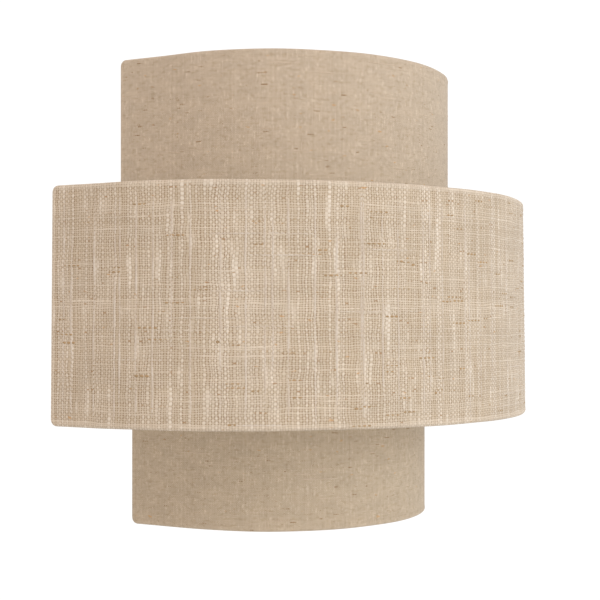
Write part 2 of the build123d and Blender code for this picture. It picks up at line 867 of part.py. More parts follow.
# ---- The assembly ----
def build_nodes():
    """Every node's name with its solids."""
    above = (upper, upper.ring_bottom_z)
    band_top = (band, band.ring_top_z)
    below = (lower, lower.ring_top_z)
    band_bottom = (band, band.ring_bottom_z)
    cross_notch = hanger_wire + 2 * notch_fit
    band_notches = spoke_notches(*band_top, *above) + spoke_notches(*band_bottom, *below)
    band_notches.append(cross_wire(hanger_z, hanger_y, cross_notch))
    band_notches.append(cross_wire(lower_tie_z, lower_tie_y, cross_notch))
    return {
        "upper_tier_cover": cover(upper, spoke_notches(*above, *band_top)),
        "middle_band_cover": cover(band, band_notches),
        "lower_tier_cover": cover(lower, spoke_notches(*below, *band_bottom)),
        "upper_tier_liner": liner(upper),
        "middle_band_liner": liner(band),
        "lower_tier_liner": liner(lower),
        "upper_tier_frame": frame_loop(upper, frame_wire / 2),
        "middle_band_frame": frame_loop(band, frame_wire / 2),
        "lower_tier_frame": frame_loop(lower, frame_wire / 2),
        "upper_spokes": spokes(*above, *band_top),
        "lower_spokes": spokes(*below, *band_bottom),
        "hanger_wire": welded(cross_wire(hanger_z, hanger_y, hanger_wire), (band,)),
        "lower_tie_wire": welded(cross_wire(lower_tie_z, lower_tie_y, hanger_wire), (band,)),
        "back_plate": back_plate(),
        "shade_hook_left": shade_hook(-1),
        "shade_hook_right": shade_hook(1),
        "hook_rivets": [rivet(x, z) for x, z in rivet_places()],
        "wall_bracket": wall_bracket(),
        "bracket_studs": [stud(way) for way in (-1, 1)],
        "stud_washers": [stud_washer(way) for way in (-1, 1)],
        "thumb_nut_left": thumb_nut(-1),
        "thumb_nut_right": thumb_nut(1),
        "entry_bushing": entry_bushing(),
        "terminal_block": terminal_block(),
        "terminal_screws": terminal_screws(),
        "terminal_block_screw": block_fixing_screw(),
        "earth_screw": earth_screw(),
        "earth_tag": earth_tag(),
        "lamp_arm": lamp_arm(),
        "arm_collar": arm_collar(),
        "arm_lock_nut": arm_lock_nut(),
        "lampholder_cap": lampholder_cap(),
        "lampholder_sleeve": lampholder_sleeve(),
        "lampholder_core": lampholder_core(),
        "screw_shell": screw_shell(),
        "centre_contact": centre_contact(),
        "live_lead": lamp_lead(-1),
        "neutral_lead": lamp_lead(1),
        "earth_lead": earth_lead(),
        "lamp_globe": lamp_globe(),
        "lamp_cap": lamp_cap(),
        "lamp_insulator": lamp_insulator(),
        "lamp_filament": lamp_filament(),
    }


os.makedirs("parts", exist_ok=True)
for node, shape in build_nodes().items():
    solids = []
    for piece in shape if isinstance(shape, list) else [shape]:
        solids += piece.solids()
    model = solids[0] if len(solids) == 1 else Compound(children=solids)
    model.label = node
    export_step(model, f"parts/{node}.step")
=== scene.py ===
"""Looks of a half-drum wall light: three tiers of linen on wire frames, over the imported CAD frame."""

import logging
import math
from dataclasses import dataclass, field, replace
from enum import Enum
from typing import Iterable, Optional, Union

import bmesh
import bpy
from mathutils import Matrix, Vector

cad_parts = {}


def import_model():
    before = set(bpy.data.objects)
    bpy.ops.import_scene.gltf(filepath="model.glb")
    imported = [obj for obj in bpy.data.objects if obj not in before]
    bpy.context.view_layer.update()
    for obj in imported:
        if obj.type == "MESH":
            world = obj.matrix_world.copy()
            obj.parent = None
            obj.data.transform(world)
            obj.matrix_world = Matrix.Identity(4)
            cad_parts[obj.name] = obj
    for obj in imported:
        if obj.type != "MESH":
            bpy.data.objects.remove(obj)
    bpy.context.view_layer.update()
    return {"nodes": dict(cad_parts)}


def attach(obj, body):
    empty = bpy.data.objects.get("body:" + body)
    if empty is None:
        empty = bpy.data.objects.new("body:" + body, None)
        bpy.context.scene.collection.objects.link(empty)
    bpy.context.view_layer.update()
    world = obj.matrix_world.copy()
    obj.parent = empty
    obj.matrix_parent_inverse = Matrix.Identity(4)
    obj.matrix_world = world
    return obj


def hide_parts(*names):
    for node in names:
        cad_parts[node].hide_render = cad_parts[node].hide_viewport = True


logging.basicConfig(level=logging.INFO, format="%(levelname)s %(name)s: %(message)s")
LOG = logging.getLogger("wall_light")

Socket = bpy.types.NodeSocket
Value = Union[float, Socket]
Colour = tuple[float, float, float]
MM = 0.001
FLAT_UV = "flat_cloth"
# Vertex attribute that marks where the painted highlight on the rolled edge goes.
HEM_HIGHLIGHT = "hem"
MIDDLE = (0.3, 0.7)
CLOTH_SHEEN = {"Sheen_Weight": 0.12, "Sheen_Roughness": 0.45, "Specular_IOR_Level": 0.2}


# ---------------------------------------------------------------- node building


class Nodes:
    """A node tree and short calls that add nodes to it."""

    def __init__(self, tree: bpy.types.NodeTree) -> None:
        """Keep the tree.

        Args:
            tree: The tree that grows.
        """
        self.tree = tree

    def node(self, kind: str, **settings: object) -> bpy.types.Node:
        """Add a node.

        Args:
            kind: Node type without its ShaderNode prefix.
            **settings: Properties of the node.

        Returns:
            The new node.
        """
        node = self.tree.nodes.new("ShaderNode" + kind)
        for name, value in settings.items():
            setattr(node, name, value)
        return node

    def feed(self, socket: Socket, value: object) -> None:
        """Link a socket or set its constant.

        Args:
            socket: The input socket.
            value: An output socket, a number, a colour or a vector.
        """
        if isinstance(value, bpy.types.NodeSocket):
            self.tree.links.new(value, socket)
        elif isinstance(value, tuple) and len(value) == 3 and socket.type == "RGBA":
            socket.default_value = (*value, 1.0)
        else:
            socket.default_value = value

    def math(self, operation: str, *values: Value, clamp: bool = False) -> Socket:
        """Add a Math node.

        Args:
            operation: The node's operation.
            *values: Its inputs in order.
            clamp: Whether the result is held between 0 and 1.

        Returns:
            The result's socket.
        """
        node = self.node("Math", operation=operation, use_clamp=clamp)
        for socket, value in zip(node.inputs, values):
            self.feed(socket, value)
        return node.outputs[0]

    def spread(
        self, value: Value, low: float, high: float, to_low: float = 0.0, to_high: float = 1.0
    ) -> Socket:
        """Map a range onto another with soft ends.

        Args:
            value: What is mapped.
            low: Start of the range.
            high: End of the range.
            to_low: Result at the start.
            to_high: Result at the end.

        Returns:
            The result's socket.
        """
        node = self.node("MapRange", interpolation_type="SMOOTHSTEP")
        for socket, given in zip(node.inputs, (value, low, high, to_low, to_high)):
            self.feed(socket, given)
        return node.outputs[0]

    def vector(self, x: Value, y: Value, z: Value = 0.0) -> Socket:
        """Join three values into a vector.

        Args:
            x: First part.
            y: Second part.
            z: Third part.

        Returns:
            The vector's socket.
        """
        node = self.node("CombineXYZ")
        for socket, value in zip(node.inputs, (x, y, z)):
            self.feed(socket, value)
        return node.outputs[0]

    def stretched(self, x: Value, y: Value, by_x: float, by_y: float, z: Value = 0.0) -> Socket:
        """Join two values, each times a factor, and a third into a vector."""
        return self.vector(self.math("MULTIPLY", x, by_x), self.math("MULTIPLY", y, by_y), z)

    def parts(self, vector: Socket) -> tuple[Socket, Socket, Socket]:
        """Take a vector apart.

        Args:
            vector: The vector.

        Returns:
            Its three parts.
        """
        node = self.node("SeparateXYZ")
        self.feed(node.inputs[0], vector)
        return tuple(node.outputs)

    def noise(self, vector: Socket, scale: float, detail: float = 2.0, roughness: float = 0.5) -> Socket:
        """Add a noise pattern.

        Args:
            vector: Its coordinates.
            scale: Its scale.
            detail: Its octaves.
            roughness: Its roughness.

        Returns:
            The value's socket.
        """
        node = self.node("TexNoise")
        self.feed(node.inputs["Vector"], vector)
        node.inputs["Scale"].default_value = scale
        node.inputs["Detail"].default_value = detail
        node.inputs["Roughness"].default_value = roughness
        return node.outputs["Fac"]


class Shader(Nodes):
    """A material and the calls that only its tree needs."""

    def __init__(self, name: str) -> None:
        """Make a material with a Principled shader.

        Args:
            name: The material's name.
        """
        self.material = bpy.data.materials.new(name)
        self.material.use_nodes = True
        super().__init__(self.material.node_tree)
        self.surface = self.tree.nodes["Principled BSDF"]

    def mix(self, share: Value, first: object, second: object, blend: str = "MIX") -> Socket:
        """Mix two colours.

        Args:
            share: How much of the second.
            first: First colour.
            second: Second colour.
            blend: The blend type.

        Returns:
            The mixed colour's socket.
        """
        node = self.node("Mix", data_type="RGBA", blend_type=blend)
        self.feed(node.inputs["Factor"], share)
        self.feed(node.inputs[6], first)
        self.feed(node.inputs[7], second)
        return node.outputs[2]

    def chance(self, value: Socket) -> Socket:
        """One fixed random number for each whole value.

        Args:
            value: The whole value.

        Returns:
            The number, from 0 to 1.
        """
        node = self.node("TexWhiteNoise", noise_dimensions="1D")
        self.feed(node.inputs["W"], value)
        return node.outputs["Value"]

    def place(self) -> Socket:
        """Object coordinates, in metres."""
        return self.node("TexCoord").outputs["Object"]

    def bump(self, height: Socket, distance: float, strength: float = 1.0) -> None:
        """Give the surface a relief.

        Args:
            height: The relief, from 0 to 1.
            distance: Its depth in metres.
            strength: Its strength.
        """
        node = self.node("Bump")
        node.inputs["Strength"].default_value = strength
        node.inputs["Distance"].default_value = distance
        self.feed(node.inputs["Height"], height)
        self.tree.links.new(node.outputs[0], self.surface.inputs["Normal"])

    def set(self, **values: object) -> None:
        """Set the Principled shader's inputs.

        Args:
            **values: Inputs by name, with _ for a space.
        """
        for name, value in values.items():
            self.feed(self.surface.inputs[name.replace("_", " ")], value)


# ---------------------------------------------------------------- finishes


class Seed:
    """Starts of the linen's random numbers, one for each noise."""

    SWAY = 7.0
    WARP_CROWDING = 13.0
    WEFT_CROWDING = 29.0
    WARP = 3.0
    WEFT = 41.0
    WARP_TONE = 11.0
    WEFT_TONE = 23.0
    FLECKS = 19.0
    NEPS = 3.0
    NEP_HUE = 17.0
    SPECKS = 9.0
    CLOUDS = 5.0


@dataclass(frozen=True)
class Linen:
    """Plain-weave linen with slubs, drawn on the cloth's own flat coordinates.

    Pitches and relief are in metres, widths and shifts in threads, colours are linear and the noises of
    neps, specks and clouds are given per metre of cloth. A range is where a noise goes from none to all.
    """

    name: str
    slot: str
    warp_light: Colour
    warp_deep: Colour
    weft_light: Colour
    weft_deep: Colour
    # Painted shade colour for the low places between the threads.
    gap: Colour
    fleck: Colour
    warp_pitch: float
    weft_pitch: float
    warp_slub: float
    weft_slub: float
    fleck_share: float
    mottle: float
    relief: float
    warp_width: float = 0.80
    weft_width: float = 0.46
    width_spread: float = 0.24
    sway: float = 1.6
    crowding: float = 1.3
    level: float = 0.62
    crimp: float = 0.26
    warp_slub_rise: float = 0.22
    weft_slub_rise: float = 0.12
    crossing: float = 0.12
    # Share of painted shade in the grooves between the level threads.
    groove_shade_share: float = 0.16
    nep_size: float = 420.0
    nep_share: float = 0.6
    tan: Colour = (0.56, 0.31, 0.12)
    # Colour of the painted highlight on the rolled edge, where the roll catches light.
    hem: Colour = (0.76, 0.67, 0.57)
    hem_highlight_share: float = 0.28
    streak: float = 0.035
    tone_middle: float = 0.42
    tone_spread: float = 0.75
    warp_slub_tone: float = 0.6
    weft_slub_tone: float = 0.25
    speck_size: float = 430.0
    speckle: float = 0.15
    speck: Colour = (0.40, 0.29, 0.17)
    cloud_size: float = 38.0
    slub_range: tuple[float, float] = (0.54, 0.72)
    groove_shade_range: tuple[float, float] = (0.2, 0.5)
    # Height range over which the painted shade between threads fades out.
    gap_shade_range: tuple[float, float] = (0.08, 0.66)
    fleck_range: tuple[float, float] = (0.66, 0.74)
    nep_range: tuple[float, float] = (0.70, 0.77)
    hue_range: tuple[float, float] = (0.46, 0.54)
    speck_range: tuple[float, float] = (0.48, 0.72)
    roughness: tuple[float, float] = (0.96, 0.8)
    relief_strength: float = 0.7

    def shaded_copy(self, name: str, tint: Colour) -> "Linen":
        """The same cloth with every colour scaled, as a darker copy that paints shade.

        Args:
            name: The copy's name.
            tint: What each colour is multiplied by.

        Returns:
            The cloth.
        """
        parts = ("warp_light", "warp_deep", "weft_light", "weft_deep", "gap", "speck", "hem")
        shades = {part: tuple(a * b for a, b in zip(getattr(self, part), tint)) for part in parts}
        return replace(self, name=name, **shades)

    def make(self) -> bpy.types.Material:
        """Build the material.

        Returns:
            The cloth's material.
        """
        s = Shader(self.name)
        across, along, _ = s.parts(s.node("UVMap", uv_map=FLAT_UV).outputs[0])
        u, v = self._counts(s, across, along)
        height, colour = self._weave(s, u, v)
        # Painted highlight: the rolled edge is mixed towards a paler colour where the roll catches light.
        hem_highlight_mask = s.math("MULTIPLY", s.node("Attribute", attribute_name=HEM_HIGHLIGHT).outputs["Fac"], self.hem_highlight_share)
        colour = self._blemishes(s, s.mix(hem_highlight_mask, colour, self.hem), across, along)
        s.set(Base_Color=colour, Roughness=s.spread(height, 0.0, 1.0, *self.roughness))
        s.set(**CLOTH_SHEEN)
        s.bump(height, self.relief, self.relief_strength)
        return s.material

    def _counts(self, s: Shader, across: Socket, along: Socket) -> tuple[Socket, Socket]:
        """Count the threads along both ways, which sway and crowd.

        Args:
            s: The shader.
            across: Place across the upright threads, in metres.
            along: Height on the cloth, in metres.

        Returns:
            The count of upright and of level threads.
        """
        u = s.math("DIVIDE", across, self.warp_pitch)
        v = s.math("DIVIDE", along, self.weft_pitch)
        slow = s.noise(s.stretched(u, v, 0.06, 0.11), 1.0)
        other = s.noise(s.stretched(u, v, 0.11, 0.05, Seed.SWAY), 1.0)
        u = s.math("MULTIPLY_ADD", s.math("SUBTRACT", slow, 0.5), self.sway, u)
        v = s.math("MULTIPLY_ADD", s.math("SUBTRACT", other, 0.5), self.sway, v)
        return self._uneven(s, u, v, Seed.WARP_CROWDING), self._uneven(s, v, u, Seed.WEFT_CROWDING)

    def _uneven(self, s: Shader, across: Socket, along: Socket, seed: float) -> Socket:
        """Threads that stand closer and further apart, each shifting slowly along its run."""
        shift = s.noise(s.stretched(across, along, 0.45, 0.05, seed), 1.0, 1.0)
        return s.math("MULTIPLY_ADD", s.math("SUBTRACT", shift, 0.5), self.crowding, across)

    def _weave(self, s: Shader, u: Socket, v: Socket) -> tuple[Socket, Socket]:
        """Cross the two sets of threads, one over and one under.

        Args:
            s: The shader.
            u: Count of upright threads.
            v: Count of level threads.

        Returns:
            The cloth's height, from 0 to 1, and its colour.
        """
        warp, warp_number, warp_slub = self._threads(s, u, v, Seed.WARP, self.warp_width, self.warp_slub)
        weft, weft_number, weft_slub = self._threads(s, v, u, Seed.WEFT, self.weft_width, self.weft_slub)
        warp_level = self._level(s, v, warp_number, warp_slub, self.crimp, self.warp_slub_rise)
        weft_level = self._level(s, u, weft_number, weft_slub, -self.crimp, self.weft_slub_rise)
        warp_height = s.math("MULTIPLY", warp, warp_level)
        weft_height = s.math("MULTIPLY", weft, weft_level)
        height = s.math("MAXIMUM", warp_height, weft_height)
        over = s.spread(s.math("SUBTRACT", warp_height, weft_height), -self.crossing, self.crossing)
        warp_tone = self._tone(s, warp_number, warp_slub, Seed.WARP_TONE, self.warp_slub_tone)
        weft_tone = self._tone(s, weft_number, weft_slub, Seed.WEFT_TONE, self.weft_slub_tone)
        warp_shade = s.mix(warp_tone, self.warp_deep, self.warp_light)
        weft_shade = s.mix(weft_tone, self.weft_deep, self.weft_light)
        weft_shade = s.mix(self._flecks(s, u, weft_number), weft_shade, self.fleck)
        colour = s.mix(over, weft_shade, warp_shade)
        # Painted shade in the grooves between level threads: colour mixed towards the dark gap colour near
        # each thread's edge.
        dip = s.math("ABSOLUTE", s.math("SUBTRACT", s.math("FRACT", v), 0.5))
        colour = s.mix(s.spread(dip, *self.groove_shade_range, 0.0, self.groove_shade_share), colour, self.gap)
        # Painted shade: low places between the threads are mixed towards the dark gap colour.
        return height, s.mix(s.spread(height, *self.gap_shade_range, 1.0, 0.0), colour, self.gap)

    def _threads(
        self, s: Shader, across: Socket, along: Socket, seed: float, least: float, slub: float
    ) -> tuple[Socket, Socket, Socket]:
        """Draw one set of parallel threads.

        Args:
            s: The shader.
            across: Thread count across the set.
            along: Thread count along the set.
            seed: Start of its random numbers.
            least: Width of the thinnest thread, as a share of the pitch.
            slub: How much thicker a slub is.

        Returns:
            The round profile, the thread's number and how much it is a slub.
        """
        number = s.math("FLOOR", across)
        off_centre = s.math("ABSOLUTE", s.math("SUBTRACT", s.math("FRACT", across), 0.5))
        streak = s.noise(s.stretched(number, along, 7.31, self.streak, seed), 1.0, 2.0, 0.6)
        thick = s.spread(streak, *self.slub_range)
        width = s.math("MULTIPLY_ADD", s.chance(s.math("ADD", number, seed)), self.width_spread, least)
        width = s.math("MULTIPLY_ADD", thick, slub, width)
        share = s.math("DIVIDE", s.math("MULTIPLY", off_centre, 2.0), width, clamp=True)
        profile = s.math("SQRT", s.math("SUBTRACT", 1.0, s.math("MULTIPLY", share, share), clamp=True))
        return profile, number, thick

    def _level(
        self, s: Shader, crossed: Socket, number: Socket, slub: Socket, crimp: float, rise: float
    ) -> Socket:
        """How high a thread runs, up and down over the threads that it crosses.

        Args:
            s: The shader.
            crossed: Count of the threads that it crosses.
            number: The thread's own number.
            slub: How much it is a slub.
            crimp: How far it goes up and down.
            rise: How much higher a slub runs.

        Returns:
            The level, from 0 to 1.
        """
        turn = s.math("MULTIPLY", s.math("ADD", s.math("SUBTRACT", crossed, 0.5), number), math.pi)
        level = s.math("MULTIPLY_ADD", s.math("COSINE", turn), crimp, self.level)
        return s.math("MULTIPLY_ADD", slub, rise, level)

    def _tone(self, s: Shader, number: Socket, slub: Socket, seed: float, paler: float) -> Socket:
        """How light a thread is, with slubs paler than the rest.

        Args:
            s: The shader.
            number: The thread's number.
            slub: How much it is a slub.
            seed: Start of its random numbers.
            paler: How much paler a slub is.

        Returns:
            The tone, from 0 to 1.
        """
        chance = s.chance(s.math("ADD", number, seed))
        tone = s.math("MULTIPLY_ADD", chance, self.tone_spread, self.tone_middle - 0.5 * self.tone_spread)
        return s.math("MULTIPLY_ADD", slub, paler, tone, clamp=True)

    def _flecks(self, s: Shader, along: Socket, number: Socket) -> Socket:
        """Brown lengths of weft thread."""
        streak = s.noise(s.stretched(along, number, 0.16, 5.77, Seed.FLECKS), 1.0, 1.0)
        return s.spread(streak, *self.fleck_range, 0.0, self.fleck_share)

    def _blemishes(self, s: Shader, colour: Socket, across: Socket, along: Socket) -> Socket:
        """Lay neps, fine specks and soft clouds over the cloth.

        Args:
            s: The shader.
            colour: The clean cloth's colour.
            across: Place across the upright threads, in metres.
            along: Height on the cloth, in metres.

        Returns:
            The colour.
        """
        neps = s.noise(s.stretched(across, along, 0.55, 1.25, Seed.NEPS), self.nep_size, 1.0)
        hue = s.spread(s.noise(s.vector(across, along, Seed.NEP_HUE), 110.0, 1.0), *self.hue_range)
        nep = s.mix(hue, self.fleck, self.tan)
        colour = s.mix(s.spread(neps, *self.nep_range, 0.0, self.nep_share), colour, nep)
        grains = s.noise(s.stretched(across, along, 0.8, 1.3, Seed.SPECKS), self.speck_size, 3.0, 0.6)
        colour = s.mix(s.spread(grains, *self.speck_range, 0.0, self.speckle), colour, self.speck)
        clouds = s.noise(s.stretched(across, along, 1.0, 1.6, Seed.CLOUDS), self.cloud_size, 4.0, 0.62)
        shade = s.spread(clouds, *MIDDLE, 1.0 - self.mottle, 1.0 + self.mottle)
        return s.mix(1.0, colour, shade, "MULTIPLY")


class Texture(Enum):
    """How a hard finish is broken up: the noise's scale and octaves, the relief's depth."""

    PEEL = (1400.0, 2.0, 0.00006)
    BRUSHED = (9000.0, 2.0, 0.00002)
    GRAIN = (3200.0, 3.0, 0.00003)
    GLAZE = (900.0, 1.0, 0.00005)


@dataclass(frozen=True)
class HardFinish:
    """Painted, plated, moulded or glazed surface."""

    name: str
    slot: str
    colour: Colour
    deep: Colour
    roughness: float
    metallic: float = 0.0
    texture: Texture = Texture.GRAIN
    coat: float = 0.0
    brush_length: float = 0.04
    least_roughness: float = 0.05

    def make(self) -> bpy.types.Material:
        """Build the material.

        Returns:
            The finish's material.
        """
        s = Shader(self.name)
        scale, detail, depth = self.texture.value
        place = s.place()
        clouds = s.noise(place, 45.0, 4.0, 0.6)
        if self.texture is Texture.BRUSHED:
            x, y, z = s.parts(place)
            place = s.vector(s.math("MULTIPLY", x, self.brush_length), y, z)
        fine = s.noise(place, scale, detail)
        if self.texture is Texture.GLAZE:
            fine = s.spread(fine, 0.74, 0.8, 1.0, 0.0)
        shade = s.math("MULTIPLY_ADD", fine, 0.3, s.math("MULTIPLY", clouds, 0.7))
        dull, bright = self.roughness + 0.08, max(self.least_roughness, self.roughness - 0.05)
        s.set(Base_Color=s.mix(s.spread(shade, *MIDDLE), self.deep, self.colour))
        s.set(Roughness=s.spread(shade, *MIDDLE, dull, bright), Metallic=self.metallic)
        s.set(Coat_Weight=self.coat, Coat_Roughness=0.12)
        s.bump(fine, depth, 0.5)
        return s.material


@dataclass(frozen=True)
class LinerSheet:
    """Stiff translucent sheet that the linen is glued to."""

    name: str = "liner_sheet_finish"
    slot: str = "liner_sheet"
    light: Colour = (0.86, 0.83, 0.77)
    deep: Colour = (0.72, 0.68, 0.6)
    lines: float = 260.0
    line_length: float = 30.0

    def make(self) -> bpy.types.Material:
        """Build the material.

        Returns:
            The liner's material.
        """
        s = Shader(self.name)
        place = s.place()
        x, y, z = s.parts(place)
        lines = s.math("MULTIPLY", z, self.lines)
        weave = s.noise(s.stretched(x, y, self.line_length, self.line_length, lines), 9.0, 3.0)
        clouds = s.noise(place, 22.0, 3.0)
        shade = s.math("MULTIPLY_ADD", weave, 0.35, s.math("MULTIPLY", clouds, 0.65))
        s.set(Base_Color=s.mix(s.spread(shade, *MIDDLE), self.deep, self.light))
        s.set(Roughness=s.spread(weave, *MIDDLE, 0.5, 0.62))
        s.set(Subsurface_Weight=0.15, Subsurface_Scale=0.004)
        s.bump(weave, 0.00005, 0.4)
        return s.material


@dataclass(frozen=True)
class WireCover:
    """Insulation of a lead, plain or with a second colour along it."""

    name: str
    slot: str
    colour: Colour
    stripe: Optional[Colour] = None
    stripe_turns: float = 1500.0
    deep_share: float = 0.85

    def make(self) -> bpy.types.Material:
        """Build the material.

        Returns:
            The insulation's material.
        """
        s = Shader(self.name)
        place = s.place()
        fine = s.noise(place, 1800.0)
        deep = tuple(self.deep_share * part for part in self.colour)
        tone = s.mix(s.spread(fine, *MIDDLE), deep, self.colour)
        if self.stripe is not None:
            x, y, z = s.parts(place)
            run = s.math("ADD", s.math("ADD", x, y), z)
            turn = s.math("SINE", s.math("MULTIPLY", run, self.stripe_turns))
            tone = s.mix(s.spread(turn, 0.1, 0.3), tone, self.stripe)
        s.set(Base_Color=tone, Roughness=s.spread(fine, *MIDDLE, 0.42, 0.34), Specular_IOR_Level=0.45)
        s.bump(fine, 0.00002, 0.3)
        return s.material


@dataclass(frozen=True)
class Glass:
    """Clear lamp glass with faint drawn waves."""

    name: str
    slot: str
    tint: Colour
    roughness: float

    def make(self) -> bpy.types.Material:
        """Build the material.

        Returns:
            The glass's material.
        """
        s = Shader(self.name)
        waves = s.noise(s.place(), 60.0)
        s.set(Base_Color=s.mix(s.spread(waves, *MIDDLE), self.tint, (1.0, 1.0, 1.0)))
        s.set(Roughness=s.spread(waves, *MIDDLE, self.roughness, self.roughness + 0.02))
        s.set(Transmission_Weight=1.0, IOR=1.5)
        s.bump(waves, 0.0002, 0.2)
        return s.material


Finish = Union[Linen, HardFinish, LinerSheet, WireCover, Glass]

BAND_LINEN = Linen(
    name="band_linen_weave",
    slot="band_linen",
    warp_light=(0.765, 0.695, 0.61),
    warp_deep=(0.565, 0.475, 0.365),
    weft_light=(0.715, 0.63, 0.53),
    weft_deep=(0.525, 0.425, 0.315),
    gap=(0.29, 0.20, 0.12),
    fleck=(0.33, 0.18, 0.07),
    warp_pitch=1.33 * MM,
    weft_pitch=1.08 * MM,
    warp_slub=0.3,
    weft_slub=0.3,
    fleck_share=0.7,
    mottle=0.04,
    relief=0.25 * MM,
)
TIER_LINEN = Linen(
    name="tier_linen_weave",
    slot="inner_linen",
    warp_light=(0.68, 0.59, 0.49),
    warp_deep=(0.54, 0.45, 0.35),
    weft_light=(0.66, 0.57, 0.47),
    weft_deep=(0.50, 0.41, 0.31),
    gap=(0.35, 0.26, 0.18),
    fleck=(0.28, 0.17, 0.09),
    warp_pitch=0.62 * MM,
    weft_pitch=0.55 * MM,
    warp_slub=0.3,
    weft_slub=0.4,
    fleck_share=0.6,
    mottle=0.05,
    relief=0.1 * MM,
    hem=(0.62, 0.52, 0.42),
    hem_highlight_share=0.2,
    streak=0.14,
    tone_spread=0.3,
    speckle=0.42,
    speck=(0.36, 0.27, 0.17),
    cloud_size=90.0,
)
# Painted shade: the lower tier takes a darker, warmer copy of the tier linen for the lesser light that
# reaches it under the band.
SHADED_LOWER_LINEN = TIER_LINEN.shaded_copy("lower_linen_painted_shade", (0.965, 0.955, 0.92))


# ---------------------------------------------------------------- cloth covers


@dataclass(frozen=True)
class HalfDrum:
    """Outside of one tier: two straight sides and a half circle, from the wall round to the wall."""

    radius_top: float
    radius_bottom: float
    side: float
    top: float
    bottom: float
    leg: float = -1.9 * MM

    @property
    def mean_radius(self) -> float:
        """Radius at half height, on which the cloth's length is measured."""
        return (self.radius_top + self.radius_bottom) / 2

    @property
    def straight(self) -> float:
        """Length of a straight side, from the wire at the wall."""
        return self.side + self.leg

    @property
    def length(self) -> float:
        """Length from one wire at the wall to the other."""
        return 2 * self.straight + math.pi * self.mean_radius

    def along(self, angle: float) -> float:
        """Place along the tier of an angle from the front, in degrees."""
        return self.straight + self.mean_radius * math.radians(90 + angle)

    def point(self, along: float, height: float, out: float) -> Vector:
        """A point on or near the tier's outside.

        Args:
            along: Place along the tier from the left wire at the wall.
            height: Z in the row frame.
            out: Distance outwards from the tier's outside.

        Returns:
            The point in the row frame.
        """
        share = (height - self.bottom) / (self.top - self.bottom)
        radius = self.radius_bottom + (self.radius_top - self.radius_bottom) * share + out
        if along <= self.straight:
            return Vector((-radius, self.leg - along, height))
        if along >= self.length - self.straight:
            return Vector((radius, self.leg - (self.length - along), height))
        turn = (along - self.straight) / self.mean_radius
        return Vector((-radius * math.cos(turn), -self.side - radius * math.sin(turn), height))


class Edge(Enum):
    """An edge of a cover's cloth."""

    TOP = "top"
    RIGHT = "right"
    BOTTOM = "bottom"
    LEFT = "left"
    CORNER = "corner"


@dataclass(frozen=True)
class Station:
    """A place round the cloth's edge where the roll's section stands."""

    start: bmesh.types.BMVert
    along: float
    height: float
    way: tuple[float, float]
    edge: Edge


class Cloth:
    """A cloth's mesh while it grows, with each vertex's place on the flat cloth."""

    def __init__(self) -> None:
        """Start an empty cloth."""
        self.mesh = bmesh.new()
        self.flat = self.mesh.loops.layers.uv.new(FLAT_UV)
        self.hem = self.mesh.verts.layers.float.new(HEM_HIGHLIGHT)
        self.places: dict[bmesh.types.BMVert, tuple[float, float]] = {}

    def vertex(self, point: Vector, place: tuple[float, float], hem: float = 0.0) -> bmesh.types.BMVert:
        """Add a vertex.

        Args:
            point: Where it is.
            place: Where it is on the flat cloth.
            hem: How much it takes of the painted highlight on the rolled edge.

        Returns:
            The vertex.
        """
        made = self.mesh.verts.new(point)
        self.places[made] = place
        made[self.hem] = hem
        return made

    def close(self, name: str) -> bpy.types.Mesh:
        """Smooth the cloth, give it its flat coordinates and turn its face outwards.

        Args:
            name: The mesh's name.

        Returns:
            The mesh.
        """
        mesh = self.mesh
        for face in mesh.faces:
            face.smooth = True
            for loop in face.loops:
                loop[self.flat].uv = self.places[loop.vert]
        loose = [vert for vert in mesh.verts if not vert.link_faces]
        bmesh.ops.delete(mesh, geom=loose, context="VERTS")
        bmesh.ops.recalc_face_normals(mesh, faces=mesh.faces)
        front = min(mesh.faces, key=lambda face: face.calc_center_median().y)
        if front.normal.y > 0:
            bmesh.ops.reverse_faces(mesh, faces=mesh.faces)
        data = bpy.data.meshes.new(name)
        mesh.to_mesh(data)
        mesh.free()
        return data


